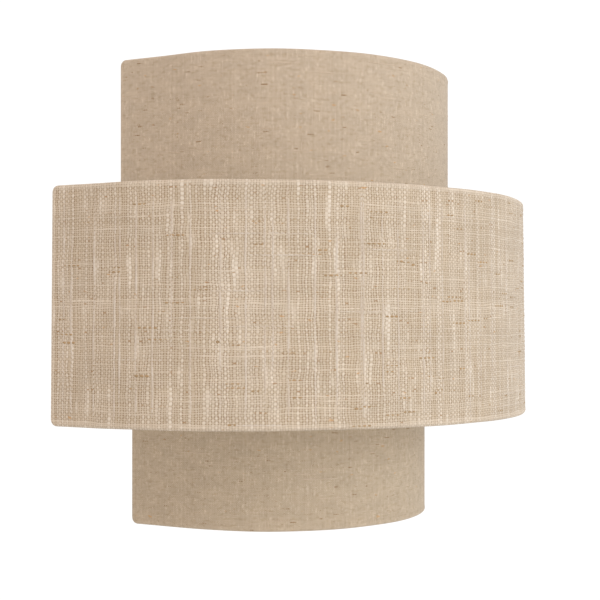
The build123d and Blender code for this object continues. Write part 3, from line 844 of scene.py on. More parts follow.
@dataclass
class LinenCover:
    """A tier's linen, stretched over the liner and rolled round the closed wire loop.

    lead_in holds points towards the edge, in corners, and outwards, in prouds. hem_waves holds lengths in
    metres and their sizes. hem_highlight_start is where the painted highlight on the rolled edge starts, in
    corners.
    """

    node: str
    drum: HalfDrum
    finish: Linen
    notches_top: bool = False
    notches_bottom: bool = False
    notched_inside: bool = False
    spoke_angles: tuple[float, ...] = (-72.0, -36.0, 0.0, 36.0, 72.0)
    roll: float = 1.6 * MM
    corner: float = 1.7 * MM
    corner_turns: tuple[float, ...] = (18.0, 36.0, 54.0, 72.0)
    proud: float = 0.15 * MM
    cloth: float = 0.5 * MM
    notch: float = 1.3 * MM
    notch_slack: float = 0.01 * MM
    cross_notch: float = 1.8 * MM
    cross_wires: tuple[float, ...] = ()
    step: float = 2.4 * MM
    least_rows: int = 4
    least_gap: float = 0.3
    hem_wave: float = 0.2 * MM
    hem_waves: tuple[tuple[float, float], ...] = ((0.031, 1.0), (0.0147, 0.7), (0.0068, 0.45))
    hem_highlight_start: float = -0.5
    lead_in: tuple[tuple[float, float], ...] = ((-1.0, 0.0), (-0.65, 0.0), (-0.4, 0.2))
    roll_start: float = 100.0
    roll_end: float = -160.0
    roll_steps: int = 15
    flat: tuple[float, float] = field(default=(0.0, 0.0), init=False)
    sheet: Optional[bpy.types.Mesh] = field(default=None, init=False)

    def profile(self) -> list[tuple[float, float, float]]:
        """Section of the rolled edge.

        Returns:
            Points (towards the edge, outwards, length of cloth so far), from the flat cloth round the wire.
        """
        wall = self.roll - self.proud
        points = [(toward * self.corner, wall + out * self.proud) for toward, out in self.lead_in]
        for number in range(self.roll_steps + 1):
            degrees = self.roll_start + (self.roll_end - self.roll_start) * number / self.roll_steps
            turn = math.radians(degrees)
            points.append((self.roll * math.cos(turn), self.roll * math.sin(turn)))
        run = 0.0
        section = [(*points[0], run)]
        for before, here in zip(points, points[1:]):
            run += math.dist(before, here)
            section.append((*here, run))
        return section

    def _between(self, first: float, last: float, count: int, sides: list[float]) -> list[float]:
        """Even places from the first to the last, with the notches' sides among them.

        Args:
            first: First place.
            last: Last place.
            count: Number of even spaces.
            sides: The notches' sides, which take the place of what is too near.

        Returns:
            The places in order.
        """
        even = [first + (last - first) * number / count for number in range(count + 1)]
        reach = self.least_gap * self.step
        return sorted([place for place in even if all(abs(place - side) > reach for side in sides)] + sides)

    def columns(self) -> list[float]:
        """Place the mesh's columns.

        Returns:
            Places along the tier, in order.
        """
        first, last = self.corner, self.drum.length - self.corner
        spokes = [self.drum.along(angle) for angle in self.spoke_angles]
        sides = [spoke + way * self.notch for spoke in spokes for way in (-1, 1)]
        return self._between(first, last, round((last - first) / self.step), sides)

    def rows(self) -> list[float]:
        """Place the mesh's rows.

        Returns:
            Heights, in order.
        """
        low = self.drum.bottom + self.roll + self.corner
        high = self.drum.top - self.roll - self.corner
        count = max(self.least_rows, round((high - low) / (2 * self.step)))
        sides = [height + way * self.cross_notch for height in self.cross_wires for way in (-1, 1)]
        return self._between(low, high, count, sides)

    def wave(self, station: Station) -> float:
        """Small unevenness of a hand-rolled hem, none at the wall and the corners.

        Args:
            station: The place round the cloth's edge.

        Returns:
            The shift towards the edge.
        """
        seed = {Edge.TOP: 4.0, Edge.BOTTOM: 2.0}.get(station.edge)
        if seed is None:
            return 0.0
        total = sum(
            size * math.sin(station.along / pitch + seed * (3 + order))
            for order, (pitch, size) in enumerate(self.hem_waves)
        )
        return self.hem_wave * total / sum(size for _, size in self.hem_waves)

    def build(self) -> bpy.types.Object:
        """Make the cloth.

        Returns:
            The cover's object.
        """
        cloth, section = Cloth(), self.profile()
        columns, rows = self.columns(), self.rows()
        grid = [
            [cloth.vertex(self.drum.point(s, z, -self.proud), (s, z - self.drum.bottom)) for s in columns]
            for z in rows
        ]
        for low, high in zip(grid, grid[1:]):
            for corners in zip(low, low[1:], high[1:], high):
                cloth.mesh.faces.new(corners)
        stations = self._stations(grid, columns, rows)
        strips = [self._strip(cloth, station, section) for station in stations]
        for number, (here, strip) in enumerate(zip(stations, strips)):
            after = (number + 1) % len(stations)
            self._join(cloth, section, (here, stations[after]), (strip, strips[after]))
        run = section[-1][2]
        self.flat = (columns[-1] - columns[0] + 2 * run, rows[-1] - rows[0] + 2 * run)
        data = cloth.close(self.node + "_linen")
        cover = bpy.data.objects.new(self.node + "_linen", data)
        bpy.context.scene.collection.objects.link(cover)
        data.materials.append(self.finish.make())
        self.sheet = data.copy()
        solid = cover.modifiers.new("cloth_thickness", "SOLIDIFY")
        solid.thickness = self.cloth
        solid.offset = -1.0
        solid.use_even_offset = True
        return cover

    def _strip(self, cloth: Cloth, station: Station, section: list[tuple]) -> list[bmesh.types.BMVert]:
        """Lay the roll's section at a place.

        Args:
            cloth: The cloth.
            station: The place.
            section: The section's points.

        Returns:
            Its vertices, from the flat cloth round the wire.
        """
        way_along, way_up = station.way
        base = station.height - self.drum.bottom
        strip = [station.start]
        for toward, out, run in section[1:]:
            reach = self.corner + toward
            shift = self.wave(station) * min(1.0, run / self.corner)
            height = station.height + way_up * (reach + shift)
            point = self.drum.point(station.along + way_along * reach, height, out - self.roll)
            # Vertices on the roll take the painted highlight.
            hem = 1.0 if toward > self.hem_highlight_start * self.corner else 0.0
            strip.append(cloth.vertex(point, (station.along + way_along * run, base + way_up * run), hem))
        return strip

    def _join(self, cloth: Cloth, section: list[tuple], stations: tuple, strips: tuple) -> None:
        """Close the roll between two places, except where a wire's notch is.

        Args:
            cloth: The cloth.
            section: The section's points.
            stations: The two places.
            strips: Their vertices.
        """
        (here, after), (strip, following) = stations, strips
        along, height = (here.along + after.along) / 2, (here.height + after.height) / 2
        edge = here.edge if here.edge is after.edge else Edge.CORNER
        for place in range(len(section) - 1):
            if self._open(edge, along, height, section[place][1]):
                continue
            corners = (strip[place], strip[place + 1], following[place + 1], following[place])
            unique = list(dict.fromkeys(corners))
            if len(unique) > 2:
                cloth.mesh.faces.new(unique)

    def _open(self, edge: Edge, along: float, height: float, out: float) -> bool:
        """Whether a face of the roll falls in a notch.

        Args:
            edge: The edge.
            along: Place along the tier.
            height: Height of the face.
            out: Distance outwards from the wire.

        Returns:
            True where the cloth is cut away for a wire.
        """
        if edge in (Edge.LEFT, Edge.RIGHT):
            return out < 0 and any(abs(height - wire) < self.cross_notch for wire in self.cross_wires)
        notched = (edge is Edge.BOTTOM and self.notches_bottom) or (edge is Edge.TOP and self.notches_top)
        spokes = [self.drum.along(angle) for angle in self.spoke_angles]
        if not notched or all(abs(along - spoke) >= self.notch for spoke in spokes):
            return False
        return out < 0 if self.notched_inside else 0 < out < self.roll - self.proud - self.notch_slack

    def _stations(self, grid: list, columns: list[float], rows: list[float]) -> list[Station]:
        """Places round the cloth's edge, clockwise from the top left.

        Args:
            grid: The flat cloth's vertices by row and column.
            columns: Places along the tier.
            rows: Heights.

        Returns:
            The places.
        """
        last_row, last_column = len(rows) - 1, len(columns) - 1
        across, up = range(last_column + 1), range(last_row + 1)
        sides = (
            (Edge.TOP, (0.0, 1.0), 90.0, [(last_row, number) for number in across]),
            (Edge.RIGHT, (1.0, 0.0), 0.0, [(number, last_column) for number in reversed(up)]),
            (Edge.BOTTOM, (0.0, -1.0), -90.0, [(0, number) for number in reversed(across)]),
            (Edge.LEFT, (-1.0, 0.0), 180.0, [(number, 0) for number in up]),
        )
        stations = []
        for edge, straight, start, cells in sides:
            ways = [(row, column, straight, edge) for row, column in cells]
            for turn in self.corner_turns:
                angle = math.radians(start - turn)
                ways.append((*cells[-1], (math.cos(angle), math.sin(angle)), Edge.CORNER))
            for row, column, way, kind in ways:
                stations.append(Station(grid[row][column], columns[column], rows[row], way, kind))
        return stations

    def dress(self) -> bpy.types.Object:
        """Build the cover and tie it to the frame.

        Returns:
            The cover's object.
        """
        cover = self.build()
        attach(cover, "shade")
        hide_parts(self.node)
        LOG.info("%s: flat cloth %.1f x %.1f mm", cover.name, self.flat[0] / MM, self.flat[1] / MM)
        return cover


# ---------------------------------------------------------------- raised yarns


@dataclass(frozen=True)
class YarnFinish:
    """Loose-spun yarn with fine fibres."""

    name: str
    slot: str
    light: Colour
    deep: Colour

    def make(self) -> bpy.types.Material:
        """Build the material.

        Returns:
            The yarn's material.
        """
        s = Shader(self.name)
        fibres = s.noise(s.place(), 1500.0, 2.0, 0.6)
        clouds = s.noise(s.place(), 90.0)
        shade = s.math("MULTIPLY_ADD", fibres, 0.6, s.math("MULTIPLY", clouds, 0.4))
        s.set(Base_Color=s.mix(s.spread(shade, 0.35, 0.65), self.deep, self.light))
        s.set(Roughness=s.spread(fibres, *MIDDLE, 0.95, 0.8))
        s.set(**CLOTH_SHEEN)
        s.bump(fibres, 0.00008, 0.6)
        return s.material


class Way(Enum):
    """Which way a yarn runs in the cloth."""

    UPRIGHT = 1
    CROSSWISE = 0


class Rule(Nodes):
    """A Geometry Nodes tree that lays yarns on a cloth, and the calls that only it needs."""

    def __init__(self, name: str, settings: dict[str, object]) -> None:
        """Make a tree with one input for the cloth and one for each setting.

        Args:
            name: The tree's name.
            settings: The inputs' names and values.
        """
        super().__init__(bpy.data.node_groups.new(name, "GeometryNodeTree"))
        self._socket("Cloth", "INPUT", "Geometry")
        for key, value in settings.items():
            self._socket(key, "INPUT", "Int" if isinstance(value, int) else "Float")
        self._socket("Yarns", "OUTPUT", "Geometry")
        self.given = self.tree.nodes.new("NodeGroupInput").outputs

    def _socket(self, name: str, side: str, kind: str) -> None:
        """Declare a socket of the tree."""
        self.tree.interface.new_socket(name=name, in_out=side, socket_type="NodeSocket" + kind)

    def geo(
        self, kind: str, inputs: dict[object, object], prefix: str = "GeometryNode", **options: object
    ) -> bpy.types.Node:
        """Add a node and feed it.

        Args:
            kind: Node type without its prefix.
            inputs: Values by input name or number.
            prefix: The node type's prefix.
            **options: Properties of the node.

        Returns:
            The new node.
        """
        made = self.tree.nodes.new(prefix + kind)
        for name, value in options.items():
            setattr(made, name, value)
        for key, value in inputs.items():
            self.feed(made.inputs[key], value)
        return made

    def read(self, kind: str) -> Socket:
        """What is known of each point, such as its position."""
        return self.geo("Input" + kind, {}).outputs[0]

    def draw(self, low: Value, high: Value, order: int) -> Socket:
        """Draw one random number for each yarn.

        Args:
            low: The least.
            high: The most.
            order: Which draw it is.

        Returns:
            The number's socket.
        """
        seed = self.math("ADD", self.given["Seed"], float(order))
        inputs = {2: low, 3: high, 8: seed}
        return self.geo("RandomValue", inputs, "FunctionNode", data_type="FLOAT").outputs[1]

    def sampled(self, value: Socket, place: Socket) -> bpy.types.Node:
        """Read a value off the real cloth at a place on the flat cloth.

        Args:
            value: What is read.
            place: Place on the flat cloth.

        Returns:
            The node that samples it.
        """
        sheet = self.geo("InputNamedAttribute", {"Name": FLAT_UV}, data_type="FLOAT_VECTOR").outputs[0]
        made = self.geo("SampleUVSurface", {"Mesh": self.given["Cloth"]}, data_type="FLOAT_VECTOR")
        self.feed(next(entry for entry in made.inputs if entry.name == "Value" and entry.enabled), value)
        self.feed(made.inputs["Source UV Map" if "Source UV Map" in made.inputs else "UV Map"], sheet)
        self.feed(made.inputs["Sample UV"], place)
        return made


@dataclass(frozen=True)
class Yarns:
    """Thick yarns of one kind, woven over and under along one way of a cover's cloth.

    Sizes are in metres on the cloth: a yarn's length, half section, height over the cloth, how far and how
    often it goes under and over, and how far it strays. The end's share and width are shares of the whole,
    and phases are counts per metre across the yarns.
    """

    name: str
    finish: YarnFinish
    way: Way
    count: int
    seed: int
    shortest: float
    longest: float
    half_width: float
    half_height: float
    rise: float
    crimp: float
    crimp_pitch: float
    wander: float
    steps: int
    sides: int = 6
    margin: float = 0.04
    end_share: float = 0.12
    end_width: float = 0.15
    width_range: tuple[float, float] = (0.45, 1.25)
    phases: float = 700.0

    def _settings(self, cover: LinenCover) -> dict[str, object]:
        """Values of the rule's inputs for one cover.

        Args:
            cover: The cover that the yarns lie on.

        Returns:
            The values by input name.
        """
        spans = (cover.drum.length, cover.drum.top - cover.drum.bottom)
        return {
            "Count": self.count,
            "Seed": self.seed,
            "Steps": self.steps,
            "Span": spans[1 - self.way.value],
            "Reach": spans[self.way.value],
            "Shortest": self.shortest,
            "Longest": self.longest,
            "Half Width": self.half_width,
            "Flatness": self.half_height / self.half_width,
            "Rise": self.rise,
            "Crimp": self.crimp,
            "Crimp Pitch": self.crimp_pitch,
            "Wander": self.wander,
        }

    def _laid(self, n: Rule, run: Value, across: Value) -> Socket:
        """A place on the flat cloth from a place along and across the yarn."""
        return n.vector(run, across) if self.way is Way.CROSSWISE else n.vector(across, run)

    def _lines(self, n: Rule) -> Socket:
        """Draw one straight line on the flat cloth for each yarn.

        Args:
            n: The rule.

        Returns:
            The lines' socket.
        """
        given = n.given
        length = n.math("MINIMUM", n.draw(given["Shortest"], given["Longest"], 0), given["Reach"])
        start = n.math("MULTIPLY", n.draw(0.0, 1.0, 1), n.math("SUBTRACT", given["Reach"], length))
        jitter = n.draw(self.margin, 1.0 - self.margin, 2)
        beside = n.math("DIVIDE", n.math("ADD", n.read("Index"), jitter), given["Count"])
        where = self._laid(n, start, n.math("MULTIPLY", beside, given["Span"]))
        seeds = n.geo("MeshLine", {"Count": given["Count"], "Offset": (0.0, 0.0, 0.0)})
        seeds = n.geo("SetPosition", {"Geometry": seeds.outputs[0], "Position": where})
        end = (1.0, 0.0, 0.0) if self.way is Way.CROSSWISE else (0.0, 1.0, 0.0)
        line = n.geo("CurvePrimitiveLine", {"Start": (0.0, 0.0, 0.0), "End": end})
        line = n.geo("ResampleCurve", {"Curve": line.outputs[0], "Count": given["Steps"]})
        scale = n.vector(length, length, 1.0)
        inputs = {"Points": seeds.outputs[0], "Instance": line.outputs[0], "Scale": scale}
        laid_out = n.geo("InstanceOnPoints", inputs)
        return n.geo("RealizeInstances", {"Geometry": laid_out.outputs[0]}).outputs[0]

    def _radius(self, n: Rule, run: Socket, across: Socket) -> Socket:
        """How thick a yarn is along its run, thinning out to its ends.

        Args:
            n: The rule.
            run: Place along the yarn.
            across: Place across it.

        Returns:
            The radius.
        """
        thick = n.noise(n.stretched(run, across, 55.0, 900.0, 4.0), 1.0)
        factor = n.geo("SplineParameter", {}).outputs["Factor"]
        end = n.math("MINIMUM", factor, n.math("SUBTRACT", 1.0, factor))
        taper = n.spread(end, 0.0, self.end_share, self.end_width, 1.0)
        shape = n.math("MULTIPLY", taper, n.spread(thick, *MIDDLE, *self.width_range))
        return n.math("MULTIPLY", n.given["Half Width"], shape)

    def _lift(self, n: Rule, run: Socket, across: Socket) -> Socket:
        """How high a yarn stands over the cloth, over and under.

        Args:
            n: The rule.
            run: Place along the yarn.
            across: Place across it.

        Returns:
            The height.
        """
        turn = n.math("DIVIDE", n.math("MULTIPLY", run, math.pi), n.given["Crimp Pitch"])
        phase = n.math("MULTIPLY", n.math("FLOOR", n.math("MULTIPLY", across, self.phases)), math.pi)
        wave = n.math("COSINE", n.math("ADD", turn, phase))
        return n.math("MULTIPLY_ADD", wave, n.given["Crimp"], n.given["Rise"])

    def _rule(self, settings: dict[str, object], material: bpy.types.Material) -> bpy.types.NodeTree:
        """Write the rule that lays the yarns on the cloth.

        Args:
            settings: The inputs' names and values.
            material: The yarn's material.

        Returns:
            The node tree.
        """
        n = Rule(self.name + "_rule", settings)
        yarns, place = self._lines(n), n.read("Position")
        x, y, _ = n.parts(place)
        run, across = (x, y) if self.way is Way.CROSSWISE else (y, x)
        drift = n.noise(n.stretched(run, across, 40.0, 300.0), 1.0, 1.0)
        strayed = n.math("MULTIPLY_ADD", n.math("SUBTRACT", drift, 0.5), n.given["Wander"], across)
        where = self._laid(n, run, strayed)
        yarns = n.geo("SetPosition", {"Geometry": yarns, "Position": where}).outputs[0]
        yarns = n.geo("SetCurveRadius", {"Curve": yarns, "Radius": self._radius(n, run, across)}).outputs[0]
        on_cloth, outwards = n.sampled(place, place), n.sampled(n.read("Normal"), place)
        normal = outwards.outputs[0]
        yarns = n.geo("SetCurveNormal", {"Curve": yarns, "Normal": normal}, mode="FREE").outputs[0]
        raised = n.geo("VectorMath", {0: normal}, "ShaderNode", operation="SCALE")
        n.feed(raised.inputs["Scale"], self._lift(n, run, across))
        parts = {0: on_cloth.outputs[0], 1: raised.outputs[0]}
        moved = n.geo("VectorMath", parts, "ShaderNode", operation="ADD")
        off_cloth = n.geo("BooleanMath", {0: on_cloth.outputs["Is Valid"]}, "FunctionNode", operation="NOT")
        yarns = n.geo("DeleteGeometry", {"Geometry": yarns, "Selection": off_cloth.outputs[0]}).outputs[0]
        yarns = n.geo("SetPosition", {"Geometry": yarns, "Position": moved.outputs[0]}).outputs[0]
        ring = n.geo("CurvePrimitiveCircle", {"Resolution": self.sides, "Radius": 1.0}).outputs[0]
        oval = n.vector(n.given["Flatness"], 1.0, 1.0)
        ring = n.geo("Transform", {"Geometry": ring, "Scale": oval}).outputs[0]
        tube = n.geo("CurveToMesh", {"Curve": yarns, "Profile Curve": ring, "Fill Caps": True})
        if "Scale" in tube.inputs:
            n.feed(tube.inputs["Scale"], n.read("Radius"))
        smooth = n.geo("SetShadeSmooth", {"Geometry": tube.outputs[0]})
        solid = n.geo("RealizeInstances", {"Geometry": smooth.outputs[0]})
        coloured = n.geo("SetMaterial", {"Geometry": solid.outputs[0], "Material": material})
        n.tree.links.new(coloured.outputs[0], n.tree.nodes.new("NodeGroupOutput").inputs[0])
        return n.tree

    def lay(self, cover: LinenCover) -> bpy.types.Object:
        """Lay the yarns on a cover and tie them to the shade.

        Args:
            cover: The cover, already built.

        Returns:
            The yarns' object.
        """
        settings, material = self._settings(cover), self.finish.make()
        source = bpy.data.objects.new(self.name + "_source", cover.sheet.copy())
        bpy.context.scene.collection.objects.link(source)
        rule = source.modifiers.new("rule", "NODES")
        rule.node_group = self._rule(settings, material)
        for item in rule.node_group.interface.items_tree:
            if item.in_out == "INPUT" and item.name in settings:
                rule[item.identifier] = settings[item.name]
        bpy.context.view_layer.update()
        made = bpy.data.meshes.new_from_object(source.evaluated_get(bpy.context.evaluated_depsgraph_get()))
        bpy.data.objects.remove(source)
        made.name = self.name
        yarns = bpy.data.objects.new(self.name, made)
        bpy.context.scene.collection.objects.link(yarns)
        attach(yarns, "shade")
        LOG.info("%s: %d faces", self.name, len(made.polygons))
        return yarns


PALE_YARN = YarnFinish("pale_slub_yarn", "band_linen", (0.69, 0.625, 0.555), (0.56, 0.47, 0.385))
BARK_SLIVER = YarnFinish("brown_bark_sliver", "band_linen", (0.49, 0.33, 0.18), (0.32, 0.235, 0.14))
TIER_YARN = YarnFinish("tier_slub_yarn", "inner_linen", (0.62, 0.52, 0.41), (0.52, 0.42, 0.32))
TIER_SLIVER = YarnFinish("tier_bark_sliver", "inner_linen", (0.36, 0.24, 0.13), (0.27, 0.18, 0.10))
BAND_UPRIGHT_SLUBS = Yarns(
    name="band_upright_slubs",
    finish=PALE_YARN,
    way=Way.UPRIGHT,
    count=58,
    seed=11,
    shortest=60 * MM,
    longest=150 * MM,
    half_width=0.52 * MM,
    half_height=0.2 * MM,
    rise=-0.04 * MM,
    crimp=0.15 * MM,
    crimp_pitch=1.08 * MM,
    wander=1.2 * MM,
    steps=150,
)
BAND_CROSS_SLUBS = Yarns(
    name="band_cross_slubs",
    finish=PALE_YARN,
    way=Way.CROSSWISE,
    count=30,
    seed=23,
    shortest=14 * MM,
    longest=70 * MM,
    half_width=0.36 * MM,
    half_height=0.16 * MM,
    rise=-0.05 * MM,
    crimp=0.12 * MM,
    crimp_pitch=1.33 * MM,
    wander=0.8 * MM,
    steps=120,
)
BAND_BARK_SLIVERS = Yarns(
    name="band_bark_slivers",
    finish=BARK_SLIVER,
    way=Way.CROSSWISE,
    count=150,
    seed=37,
    shortest=3 * MM,
    longest=12 * MM,
    half_width=0.46 * MM,
    half_height=0.16 * MM,
    rise=-0.08 * MM,
    crimp=0.14 * MM,
    crimp_pitch=1.33 * MM,
    wander=0.0,
    steps=24,
)
UPPER_CROSS_SLUBS = Yarns(
    name="upper_cross_slubs",
    finish=TIER_YARN,
    way=Way.CROSSWISE,
    count=60,
    seed=41,
    shortest=4 * MM,
    longest=22 * MM,
    half_width=0.24 * MM,
    half_height=0.1 * MM,
    rise=-0.02 * MM,
    crimp=0.05 * MM,
    crimp_pitch=0.62 * MM,
    wander=0.5 * MM,
    steps=90,
)
UPPER_BARK_SLIVERS = Yarns(
    name="upper_bark_slivers",
    finish=TIER_SLIVER,
    way=Way.CROSSWISE,
    count=110,
    seed=53,
    shortest=1.2 * MM,
    longest=4 * MM,
    half_width=0.28 * MM,
    half_height=0.1 * MM,
    rise=-0.04 * MM,
    crimp=0.06 * MM,
    crimp_pitch=0.62 * MM,
    wander=0.0,
    steps=16,
)
BAND_YARNS = (BAND_UPRIGHT_SLUBS, BAND_CROSS_SLUBS, BAND_BARK_SLIVERS)
UPPER_YARNS = (UPPER_CROSS_SLUBS, UPPER_BARK_SLIVERS)
LOWER_YARNS = (
    replace(UPPER_CROSS_SLUBS, name="lower_cross_slubs", count=46, seed=61),
    replace(UPPER_BARK_SLIVERS, name="lower_bark_slivers", count=90, seed=73),
)


# ---------------------------------------------------------------- CAD nodes


def coated(name: str, slot: str, roughness: float, coat: float = 0.0) -> HardFinish:
    """White sprayed or dipped coat."""
    white, deep = (0.80, 0.79, 0.75), (0.70, 0.68, 0.63)
    return HardFinish(name, slot, white, deep, roughness, 0.0, Texture.PEEL, coat)


def metal(
    name: str, slot: str, colour: Colour, deep: Colour, roughness: float, texture: Texture = Texture.BRUSHED
) -> HardFinish:
    """Bare or plated metal.

    Args:
        name: The finish's name.
        slot: Its slot.
        colour: Its lighter colour.
        deep: Its darker colour.
        roughness: Its roughness.
        texture: How it is broken up.

    Returns:
        The finish.
    """
    return HardFinish(name, slot, colour, deep, roughness, 1.0, texture)


@dataclass
class Dressing:
    """Finishes for the CAD nodes that stay visible."""

    nodes: dict[str, bpy.types.Object]

    def finishes(self) -> list[tuple[Finish, str]]:
        """List the finishes and the nodes that take them.

        Returns:
            Pairs of finish and node names, the names with spaces between.
        """
        zinc = metal("bright_zinc", "zinc_steel", (0.66, 0.68, 0.70), (0.48, 0.50, 0.50), 0.3)
        rivet_grey, rivet_deep = (0.72, 0.73, 0.74), (0.55, 0.56, 0.57)
        rivet = metal("rivet_metal", "rivet_aluminium", rivet_grey, rivet_deep, 0.35, Texture.GRAIN)
        satin = metal("satin_brass", "nut_brass", (0.80, 0.58, 0.27), (0.62, 0.43, 0.17), 0.28)
        brass, brass_deep = (0.75, 0.57, 0.28), (0.55, 0.40, 0.18)
        contact = metal("contact_brass", "terminal_brass", brass, brass_deep, 0.35, Texture.GRAIN)
        black, black_deep = (0.03, 0.03, 0.032), (0.015, 0.015, 0.016)
        terminal, terminal_deep = (0.80, 0.78, 0.72), (0.70, 0.68, 0.62)
        holder, holder_deep = (0.82, 0.80, 0.75), (0.74, 0.72, 0.67)
        glaze, glaze_deep = (0.86, 0.85, 0.81), (0.78, 0.77, 0.72)
        ceramic = "holder_ceramic"
        core = HardFinish(ceramic, ceramic, glaze, glaze_deep, 0.25, 0.0, Texture.GLAZE, 0.6)
        wire = coated("dipped_wire", "white_wire", 0.38, 0.3)
        moulded_black = HardFinish("black_moulding", "black_plastic", black, black_deep, 0.45)
        moulded_block = HardFinish("terminal_moulding", "terminal_plastic", terminal, terminal_deep, 0.4)
        moulded_holder = HardFinish("holder_moulding", "holder_plastic", holder, holder_deep, 0.32)
        earth = WireCover("earth_insulation", "earth_cover", (0.10, 0.34, 0.05), (0.75, 0.66, 0.06))
        loops = "upper_tier_frame middle_band_frame lower_tier_frame"
        cross_wires = "upper_spokes lower_spokes hanger_wire lower_tie_wire"
        strap = "wall_bracket bracket_studs stud_washers arm_lock_nut terminal_block_screw"
        cap = metal("nickel_cap", "lamp_cap_metal", (0.70, 0.69, 0.66), (0.52, 0.51, 0.48), 0.25)
        return [
            (LinerSheet(), "upper_tier_liner middle_band_liner lower_tier_liner"),
            (wire, f"{loops} {cross_wires}"),
            (coated("powder_coat", "white_plate", 0.5), "back_plate"),
            (coated("arm_coat", "white_arm", 0.42), "lamp_arm arm_collar"),
            (zinc, f"{strap} shade_hook_left shade_hook_right"),
            (rivet, "hook_rivets"),
            (satin, "thumb_nut_left thumb_nut_right"),
            (contact, "terminal_screws screw_shell centre_contact earth_screw earth_tag"),
            (moulded_black, "entry_bushing lamp_insulator"),
            (moulded_block, "terminal_block"),
            (moulded_holder, "lampholder_cap lampholder_sleeve"),
            (core, "lampholder_core"),
            (WireCover("live_insulation", "live_cover", (0.20, 0.085, 0.035)), "live_lead"),
            (WireCover("neutral_insulation", "neutral_cover", (0.03, 0.12, 0.42)), "neutral_lead"),
            (earth, "earth_lead"),
            (Glass("lamp_bulb_glass", "lamp_glass", (0.94, 0.96, 0.96), 0.0), "lamp_globe"),
            (cap, "lamp_cap"),
            (Glass("stem_glass", "lamp_stem", (0.88, 0.92, 0.92), 0.08), "lamp_filament"),
        ]

    def dress(self) -> None:
        """Give every visible node its finish."""
        for finish, names in self.finishes():
            material = finish.make()
            for name in names.split():
                node = self.nodes[name]
                node.data.materials.clear()
                node.data.materials.append(material)
                LOG.info("%s: %s", name, finish.name)


# ---------------------------------------------------------------- studio


@dataclass(frozen=True)
class SoftLight:
    """A soft square light that looks at the object."""

    name: str
    place: tuple[float, float, float]
    size: float
    power: float
    colour: Colour
    target: tuple[float, float, float] = (0.0, -0.08, 0.0)

    def hang(self) -> None:
        """Put the light in the scene."""
        light = bpy.data.lights.new(self.name, "AREA")
        light.size = self.size
        light.energy = self.power
        light.color = self.colour
        lamp = bpy.data.objects.new(self.name, light)
        lamp.location = self.place
        lamp.rotation_euler = (Vector(self.target) - Vector(self.place)).to_track_quat("-Z", "Y").to_euler()
        bpy.context.scene.collection.objects.link(lamp)


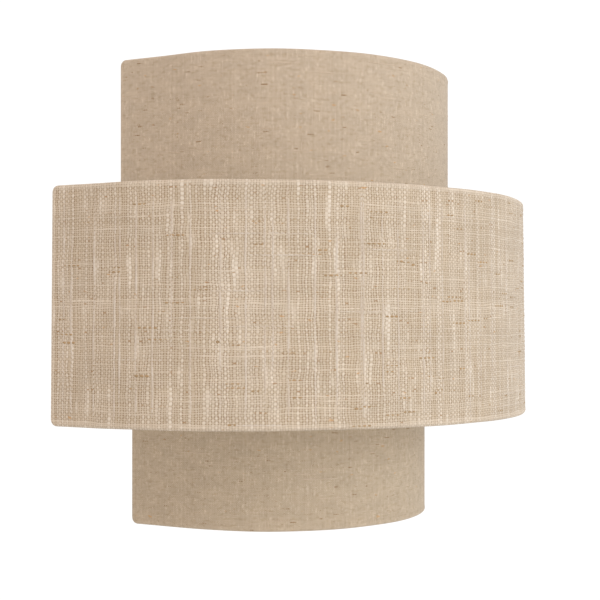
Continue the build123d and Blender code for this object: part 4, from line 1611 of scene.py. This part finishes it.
@dataclass
class Studio:
    """Floor, light and the camera at the photograph's angle.

    The sky goes from its left colour to its right one along sky_way.
    """

    eye: tuple[float, float, float] = (-0.6433, -0.3942, -0.0142)
    yaw: float = 62.149
    lens: float = 78.62
    sensor: float = 36.0
    rise: float = 0.035
    clip: tuple[float, float] = (0.01, 60.0)
    floor_height: float = -1.5
    floor_size: float = 8.0
    floor_colours: tuple[Colour, Colour] = ((0.80, 0.80, 0.79), (0.84, 0.84, 0.83))
    sky_left: Colour = (0.765, 0.675, 0.605)
    sky_right: Colour = (1.0, 1.0, 1.0)
    sky_way: tuple[float, float, float] = (0.884, 0.467, 0.0)
    sky_range: tuple[float, float] = (-0.3, 0.6)
    sky_strength: float = 1.06
    lights: tuple[SoftLight, ...] = (
        SoftLight("key_light", (-0.6, -2.5, 0.5), 1.8, 25.0, (0.90, 0.99, 1.02)),
        SoftLight("left_light", (-1.7, -0.7, 1.7), 1.0, 6.5, (1.0, 0.86, 0.77)),
    )

    def floor(self) -> bpy.types.Object:
        """Lay the pale floor.

        Returns:
            The floor's object.
        """
        half = self.floor_size / 2
        data = bpy.data.meshes.new("studio_floor")
        corners = [(x * half, y * half, self.floor_height) for x, y in ((-1, -1), (1, -1), (1, 1), (-1, 1))]
        data.from_pydata(corners, [], [(0, 1, 2, 3)])
        s = Shader("pale_floor")
        grain = s.noise(s.place(), 3.0, 3.0)
        s.set(Base_Color=s.mix(s.spread(grain, *MIDDLE), *self.floor_colours), Roughness=0.9)
        data.materials.append(s.material)
        floor = bpy.data.objects.new("studio_floor", data)
        bpy.context.scene.collection.objects.link(floor)
        return floor

    def light(self) -> None:
        """Set the sky and hang the soft lights."""
        world = bpy.data.worlds.new("studio_air")
        world.use_nodes = True
        n = Nodes(world.node_tree)
        turned = n.node("VectorMath", operation="DOT_PRODUCT")
        n.feed(turned.inputs[0], n.node("TexCoord").outputs["Generated"])
        n.feed(turned.inputs[1], self.sky_way)
        shade = n.node("Mix", data_type="RGBA")
        n.feed(shade.inputs[0], n.spread(turned.outputs["Value"], *self.sky_range))
        n.feed(shade.inputs[6], self.sky_left)
        n.feed(shade.inputs[7], self.sky_right)
        sky = n.tree.nodes["Background"]
        n.feed(sky.inputs[0], shade.outputs[2])
        n.feed(sky.inputs[1], self.sky_strength)
        bpy.context.scene.world = world
        for lamp in self.lights:
            lamp.hang()
        view = bpy.context.scene.view_settings
        view.view_transform = "Standard"
        view.look = "None"

    def camera(self) -> None:
        """Place the camera."""
        data = bpy.data.cameras.new("photo_camera")
        data.lens = self.lens
        data.sensor_width = self.sensor
        data.shift_y = self.rise
        data.clip_start, data.clip_end = self.clip
        camera = bpy.data.objects.new("photo_camera", data)
        camera.location = self.eye
        camera.rotation_euler = (math.pi / 2, 0.0, -math.radians(self.yaw))
        bpy.context.scene.collection.objects.link(camera)
        bpy.context.scene.camera = camera

    def build(self) -> None:
        """Build the floor, the light and the camera."""
        self.floor()
        self.light()
        self.camera()
        LOG.info("studio is set")


# ---------------------------------------------------------------- whole light


def covers() -> Iterable[LinenCover]:
    """The three covers, from the top down.

    Returns:
        The covers.
    """
    upper = HalfDrum(95 * MM, 95 * MM, side=40 * MM, top=119 * MM, bottom=40 * MM)
    band = HalfDrum(150 * MM, 151.3 * MM, side=25 * MM, top=50 * MM, bottom=-64 * MM)
    lower = HalfDrum(85 * MM, 85 * MM, side=37 * MM, top=-54 * MM, bottom=-119 * MM)
    yield LinenCover("upper_tier_cover", upper, TIER_LINEN, notches_bottom=True)
    yield LinenCover(
        "middle_band_cover",
        band,
        BAND_LINEN,
        notches_top=True,
        notches_bottom=True,
        notched_inside=True,
        cross_wires=(34 * MM, -38 * MM),
    )
    yield LinenCover("lower_tier_cover", lower, SHADED_LOWER_LINEN, notches_top=True)


def main() -> None:
    """Build the looks over the frame."""
    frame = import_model()
    Dressing(frame["nodes"]).dress()
    for cover, yarns in zip(covers(), (UPPER_YARNS, BAND_YARNS, LOWER_YARNS)):
        cover.dress()
        for kind in yarns:
            kind.lay(cover)
    Studio().build()


if __name__ == "__main__":
    main()
